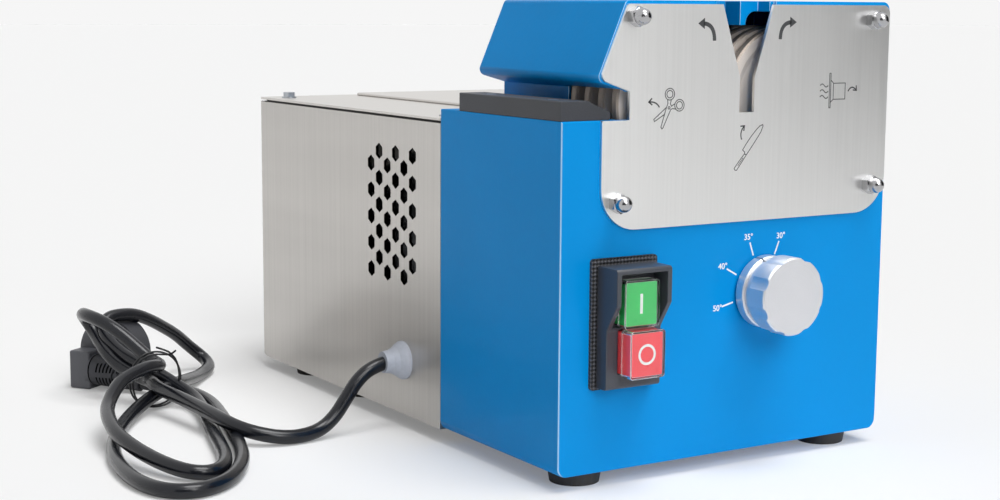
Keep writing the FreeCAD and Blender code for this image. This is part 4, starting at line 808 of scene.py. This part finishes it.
class SHARPENER_OT_plate_marks(bpy.types.Operator):
    """Print the arrows and the pictograms on the front plate"""

    bl_idname = "sharpener.plate_marks"
    bl_label = "Plate marks"

    def execute(self, context):
        self.sizes = context.scene.sharpener_sizes
        ink = printed_ink("plate_ink", context.scene.sharpener_colours.print_dark)
        for draw in (self.turning_arrows, self.scissors, self.knife, self.cup):
            mark = Print(plate_face)
            draw(mark)
            mark.piece("plate_" + draw.__name__, "root", "dark_rest", ink)
        return {"FINISHED"}

    def turning_arrows(self, mark):
        mark.bend((-17.4, 252.4), (-17.4, 261.8), (-25.5, 262.2), self.sizes.thick_line)
        mark.patch([(-24.6, 265.4), (-29.3, 262.2), (-24.6, 259.0)])
        mark.bend((31.5, 253.0), (31.5, 262.5), (39.6, 262.9), self.sizes.thick_line)
        mark.patch([(38.7, 266.1), (38.7, 259.7), (43.7, 262.9)])

    def small_arrow(self, mark, tail, pull, tip):
        """A thin bent arrow with an open head."""
        stroke, head_length, head_half = self.sizes.thin_line * 1.6, 2.3, 1.9
        mark.bend(tail, pull, tip, stroke)
        point, back = Vector(tip), (Vector(pull) - Vector(tip)).normalized()
        side = Vector((-back.y, back.x)) * head_half
        mark.line([point + back * head_length + side, point, point + back * head_length - side], stroke)

    def scissors(self, mark):
        thin = self.sizes.thin_line
        pivot = Vector((-48.8, 215.0))
        for ring in ((0.4, 7.7), (7.3, 1.3)):
            for radius in (3.3, 2.1):
                mark.arc(pivot + Vector(ring), radius, thin)
        outlines = (
            ((-1.1, 4.7), (-0.9, 2.4), (-1.8, 0.4), (-5.5, -10.7), (-4.8, -11.7), (-4.1, -11.3), (1.2, -0.9)),
            ((1.5, 4.6), (0.9, 2.4), (1.6, 0.9), (4.2, 2.3)),
            ((4.8, -0.8), (2.4, -0.5), (1.2, -0.9)),
            ((-1.8, 0.4), (-10.6, -6.3), (-10.0, -7.4), (-2.9, -3.4)),
        )
        for outline in outlines:
            mark.line([pivot + Vector(point) for point in outline], thin)
        mark.arc(pivot, 0.7, thin, steps=12)
        self.small_arrow(mark, (-55.6, 215.4), (-57.6, 219.0), (-63.0, 218.6))

    def knife(self, mark):
        thin = self.sizes.thin_line
        blade = [(20.0, 203.5), (17.7, 202.7), (15.3, 200.7), (11.5, 196.9), (8.2, 193.0), (5.3, 189.2),
                 (6.9, 187.8), (6.7, 186.8), (8.2, 186.2), (14.4, 193.7), (18.7, 199.2), (20.2, 202.6)]
        handle = [(6.7, 186.8), (2.4, 182.2), (-0.7, 178.6), (-0.1, 177.6), (1.2, 177.5), (2.9, 179.6),
                  (8.2, 186.2)]
        mark.line(blade, thin, True)
        mark.line(handle, thin, True)
        mark.line([(5.9, 184.6), (1.9, 180.0)], thin * 0.8)
        self.small_arrow(mark, (4.4, 195.2), (2.4, 199.6), (6.2, 203.2))

    def cup(self, mark):
        thin = self.sizes.thin_line
        brim = [(71.0, 212.0), (72.0, 212.0), (72.0, 232.6), (71.0, 232.6)]
        bowl = [(72.0, 228.6), (74.2, 226.6), (83.6, 226.6), (83.6, 217.0), (74.2, 217.0), (72.0, 215.2)]
        mark.line(brim, thin, True)
        mark.line(bowl, thin)
        mark.line([(74.2, 226.6), (74.2, 217.0)], thin)
        for z in (218.6, 222.0, 225.4):
            mark.bend((63.6, z), (65.2, z + 1.8), (66.8, z), thin * 1.2)
            mark.bend((66.8, z), (68.4, z - 1.8), (70.0, z), thin * 1.2)
        self.small_arrow(mark, (86.0, 221.6), (88.8, 226.0), (92.8, 222.0))


class SHARPENER_OT_grinding_discs(bpy.types.Operator):
    """Finish both sets of grinding discs"""

    bl_idname = "sharpener.grinding_discs"
    bl_label = "Grinding discs"

    def execute(self, context):
        rim_depth = 1.3 * mm
        for side in ("left", "right"):
            low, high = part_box(side + "_grinding_discs")
            middle, radius = (low + high) / 2, (high.x - low.x) / 2
            wheel = grinding_wheel(side + "_disc_steel", middle.x, middle.z, radius - rim_depth)
            dress(wheel, side + "_grinding_discs")
        return {"FINISHED"}


class SHARPENER_OT_angle_dial(bpy.types.Operator):
    """Finish the dial as turned metal and print its scale on the housing"""

    bl_idname = "sharpener.angle_dial"
    bl_label = "Angle dial"

    def execute(self, context):
        colours, sizes = context.scene.sharpener_colours, context.scene.sharpener_sizes
        tick_start, tick_end, figures_at = 22.8, 31.2, 34.6
        middle = middle_of("angle_dial")
        dress(turned_knob("dial_aluminium", colours.dial, middle.x, middle.z), "angle_dial")
        ink = printed_ink("scale_ink", colours.print_white)
        scale = Print(housing_face)
        centre = Vector((middle.x, middle.z)) / mm
        for text, degrees in (("30°", 22.5), ("35°", -19.5), ("40°", -61.5), ("50°", -103.5)):
            turn = math.radians(degrees)
            way = Vector((math.sin(turn), math.cos(turn)))
            scale.line([centre + way * tick_start, centre + way * tick_end], sizes.tick_line)
            spot = (centre + way * figures_at) * mm
            lettering = figures(text, sizes.figure_height, spot.x, spot.y, housing_face)
            scale.mesh.from_mesh(lettering)
            bpy.data.meshes.remove(lettering)
        scale.piece("dial_scale", "root", "terminal_white", ink)
        return {"FINISHED"}


class SHARPENER_OT_start_stop_switch(bpy.types.Operator):
    """Dress the switch and print the symbols on its buttons"""

    bl_idname = "sharpener.start_stop_switch"
    bl_label = "Start and stop switch"

    def execute(self, context):
        colours, sizes = context.scene.sharpener_colours, context.scene.sharpener_sizes
        casing = moulded("switch_plastic", shade("41444B"), roughness=0.32, density=1300, relief=0.12)
        dress(casing, "switch_housing")
        dress(knurled_rubber("gasket_rubber", shade("2A2B2F")), "switch_gasket")
        dress(glossy_cap("start_green", colours.start), "green_button")
        dress(glossy_cap("stop_red", colours.stop), "red_button")
        dress(clear_film("clear_boot_film"), "green_button_boot", "red_button_boot")
        soften(sizes.hood_edge, "switch_housing")
        soften(sizes.boot_edge, "green_button_boot", "red_button_boot")
        ink = printed_ink("symbol_ink", colours.print_white)
        self.start_symbol().piece("start_symbol", "start_button", "terminal_white", ink)
        self.stop_symbol().piece("stop_symbol", "stop_button", "terminal_white", ink)
        return {"FINISHED"}

    def start_symbol(self):
        """An upright bar on the green button."""
        half_width, half_height = 0.9, 5.6
        middle = middle_of("green_button") / mm
        left, right = middle.x - half_width, middle.x + half_width
        bottom, top = middle.z - half_height, middle.z + half_height
        bar = Print(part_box("green_button")[0].y)
        bar.patch([(left, bottom), (right, bottom), (right, top), (left, top)])
        return bar

    def stop_symbol(self):
        """A ring on the red button."""
        radius, stroke = 5.2, 1.5 * mm
        middle = middle_of("red_button") / mm
        ring = Print(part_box("red_button")[0].y)
        ring.arc((middle.x, middle.z), radius, stroke, steps=40)
        return ring


class SHARPENER_OT_rest_and_feet(bpy.types.Operator):
    """Dress the scissor rest and the rubber feet"""

    bl_idname = "sharpener.rest_and_feet"
    bl_label = "Rest and feet"

    def execute(self, context):
        colours, sizes = context.scene.sharpener_colours, context.scene.sharpener_sizes
        rest = moulded("rest_plastic", colours.rest, roughness=0.5, density=1100, relief=0.6, lift=1.9)
        dress(rest, "scissor_rest")
        soften(sizes.rest_edge, "scissor_rest")
        dress(moulded("foot_rubber", shade("3A3836"), roughness=0.6, density=500, relief=0.3), "feet")
        return {"FINISHED"}


class SHARPENER_OT_inner_works(bpy.types.Operator):
    """Dress the motor, the drive and the other pieces inside"""

    bl_idname = "sharpener.inner_works"
    bl_label = "Inner works"

    def execute(self, context):
        finishes = {
            "satin_aluminium": plated("turned_aluminium", shade("C6C8CB"), roughness=0.36),
            "zinc_steel": plated("inner_zinc", shade("A5A9AE"), roughness=0.4, blotch=0.2),
            "cast_aluminium": cast_metal("cast_aluminium", shade("8E9094")),
            "gear_steel": plated("gear_steel", shade("9A9A9C"), roughness=0.3),
            "lamination": cast_metal("lamination_stack", shade("6B6460")),
            "bronze": plated("bush_bronze", shade("B08D57"), roughness=0.3),
            "black_plastic": moulded("fan_plastic", shade("202124"), roughness=0.5),
            "terminal_white": moulded(
                "terminal_plastic", shade("DEDCD2"), roughness=0.4, density=700, relief=0.1, lift=1.05),
        }
        seen = {"angle_dial", "screws_and_bolts", "base_plate", "feet", "plug_body", "switch_gasket",
                "switch_housing", "cord_tie"}
        for part in frame["record"]["subparts"]:
            if part["material_slot"] in finishes and part["node"] not in seen:
                dress(finishes[part["material_slot"]], part["node"])
        return {"FINISHED"}


class SHARPENER_OT_springs_and_belts(bpy.types.Operator):
    """Put copies of the button springs and the drive belts, with their finishes, in place of their solids"""

    bl_idname = "sharpener.springs_and_belts"
    bl_label = "Springs and belts"

    def execute(self, context):
        rubber = moulded("belt_rubber", shade("1C1C1E"), roughness=0.6, density=600, relief=0.3)
        wire = plated("spring_wire", shade("A5A9AE"), roughness=0.4, blotch=0.2)
        for side in ("left", "right"):
            belt = self.copy_of(side + "_belt", "black_rubber", rubber)
            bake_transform(belt)
        travel = {joint["name"]: joint["range_m"][1] for joint in frame["record"]["behaviour"]["joints"]
                  if "range_m" in joint}
        for colour in ("green", "red"):
            front, back = (corner.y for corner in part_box(colour + "_button_spring"))
            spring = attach(self.copy_of(colour + "_button_spring", "zinc_steel", wire), "root")
            press = colour + "_press"
            keep = 1 - travel[press] / (back - front)
            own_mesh(spring)
        return {"FINISHED"}

    def copy_of(self, node, slot, finish):
        """A copy of a solid, with its own mesh and finish, in place of the solid."""
        solid = frame["nodes"][node]
        data = solid.data.copy()
        data.transform(solid.matrix_world)
        data.materials.clear()
        data.materials.append(finish)
        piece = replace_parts(add("giving_" + node, data), node)
        return piece


class SHARPENER_PT_pieces(bpy.types.Panel):
    """Lists the sharpener's pieces and settings"""

    bl_idname = "SHARPENER_PT_pieces"
    bl_label = "Bench sharpener"
    bl_space_type = "VIEW_3D"
    bl_region_type = "UI"
    bl_category = "Sharpener"

    def draw(self, context):
        for operator in operators:
            self.layout.operator(operator.bl_idname)
        for group in groups:
            settings = getattr(context.scene, group)
            column = self.layout.column(align=True)
            for name in type(settings).__annotations__:
                column.prop(settings, name)


groups = {
    "sharpener_colours": SharpenerColours,
    "sharpener_sizes": SharpenerSizes,
    "sharpener_light": SharpenerLight,
}
operators = (
    SHARPENER_OT_stage, SHARPENER_OT_mains_cord, SHARPENER_OT_painted_body, SHARPENER_OT_steel_sheets,
    SHARPENER_OT_plate_marks, SHARPENER_OT_grinding_discs, SHARPENER_OT_angle_dial,
    SHARPENER_OT_start_stop_switch, SHARPENER_OT_rest_and_feet, SHARPENER_OT_inner_works,
    SHARPENER_OT_springs_and_belts,
)


def register():
    for name, group in groups.items():
        bpy.utils.register_class(group)
        setattr(bpy.types.Scene, name, PointerProperty(type=group))
    for kind in (*operators, SHARPENER_PT_pieces):
        bpy.utils.register_class(kind)


def unregister():
    for kind in (SHARPENER_PT_pieces, *reversed(operators)):
        bpy.utils.unregister_class(kind)
    for name, group in groups.items():
        delattr(bpy.types.Scene, name)
        bpy.utils.unregister_class(group)


def main():
    register()
    for operator in operators:
        group, name = operator.bl_idname.split(".")
        getattr(getattr(bpy.ops, group), name)()


if __name__ == "__main__":
    main()
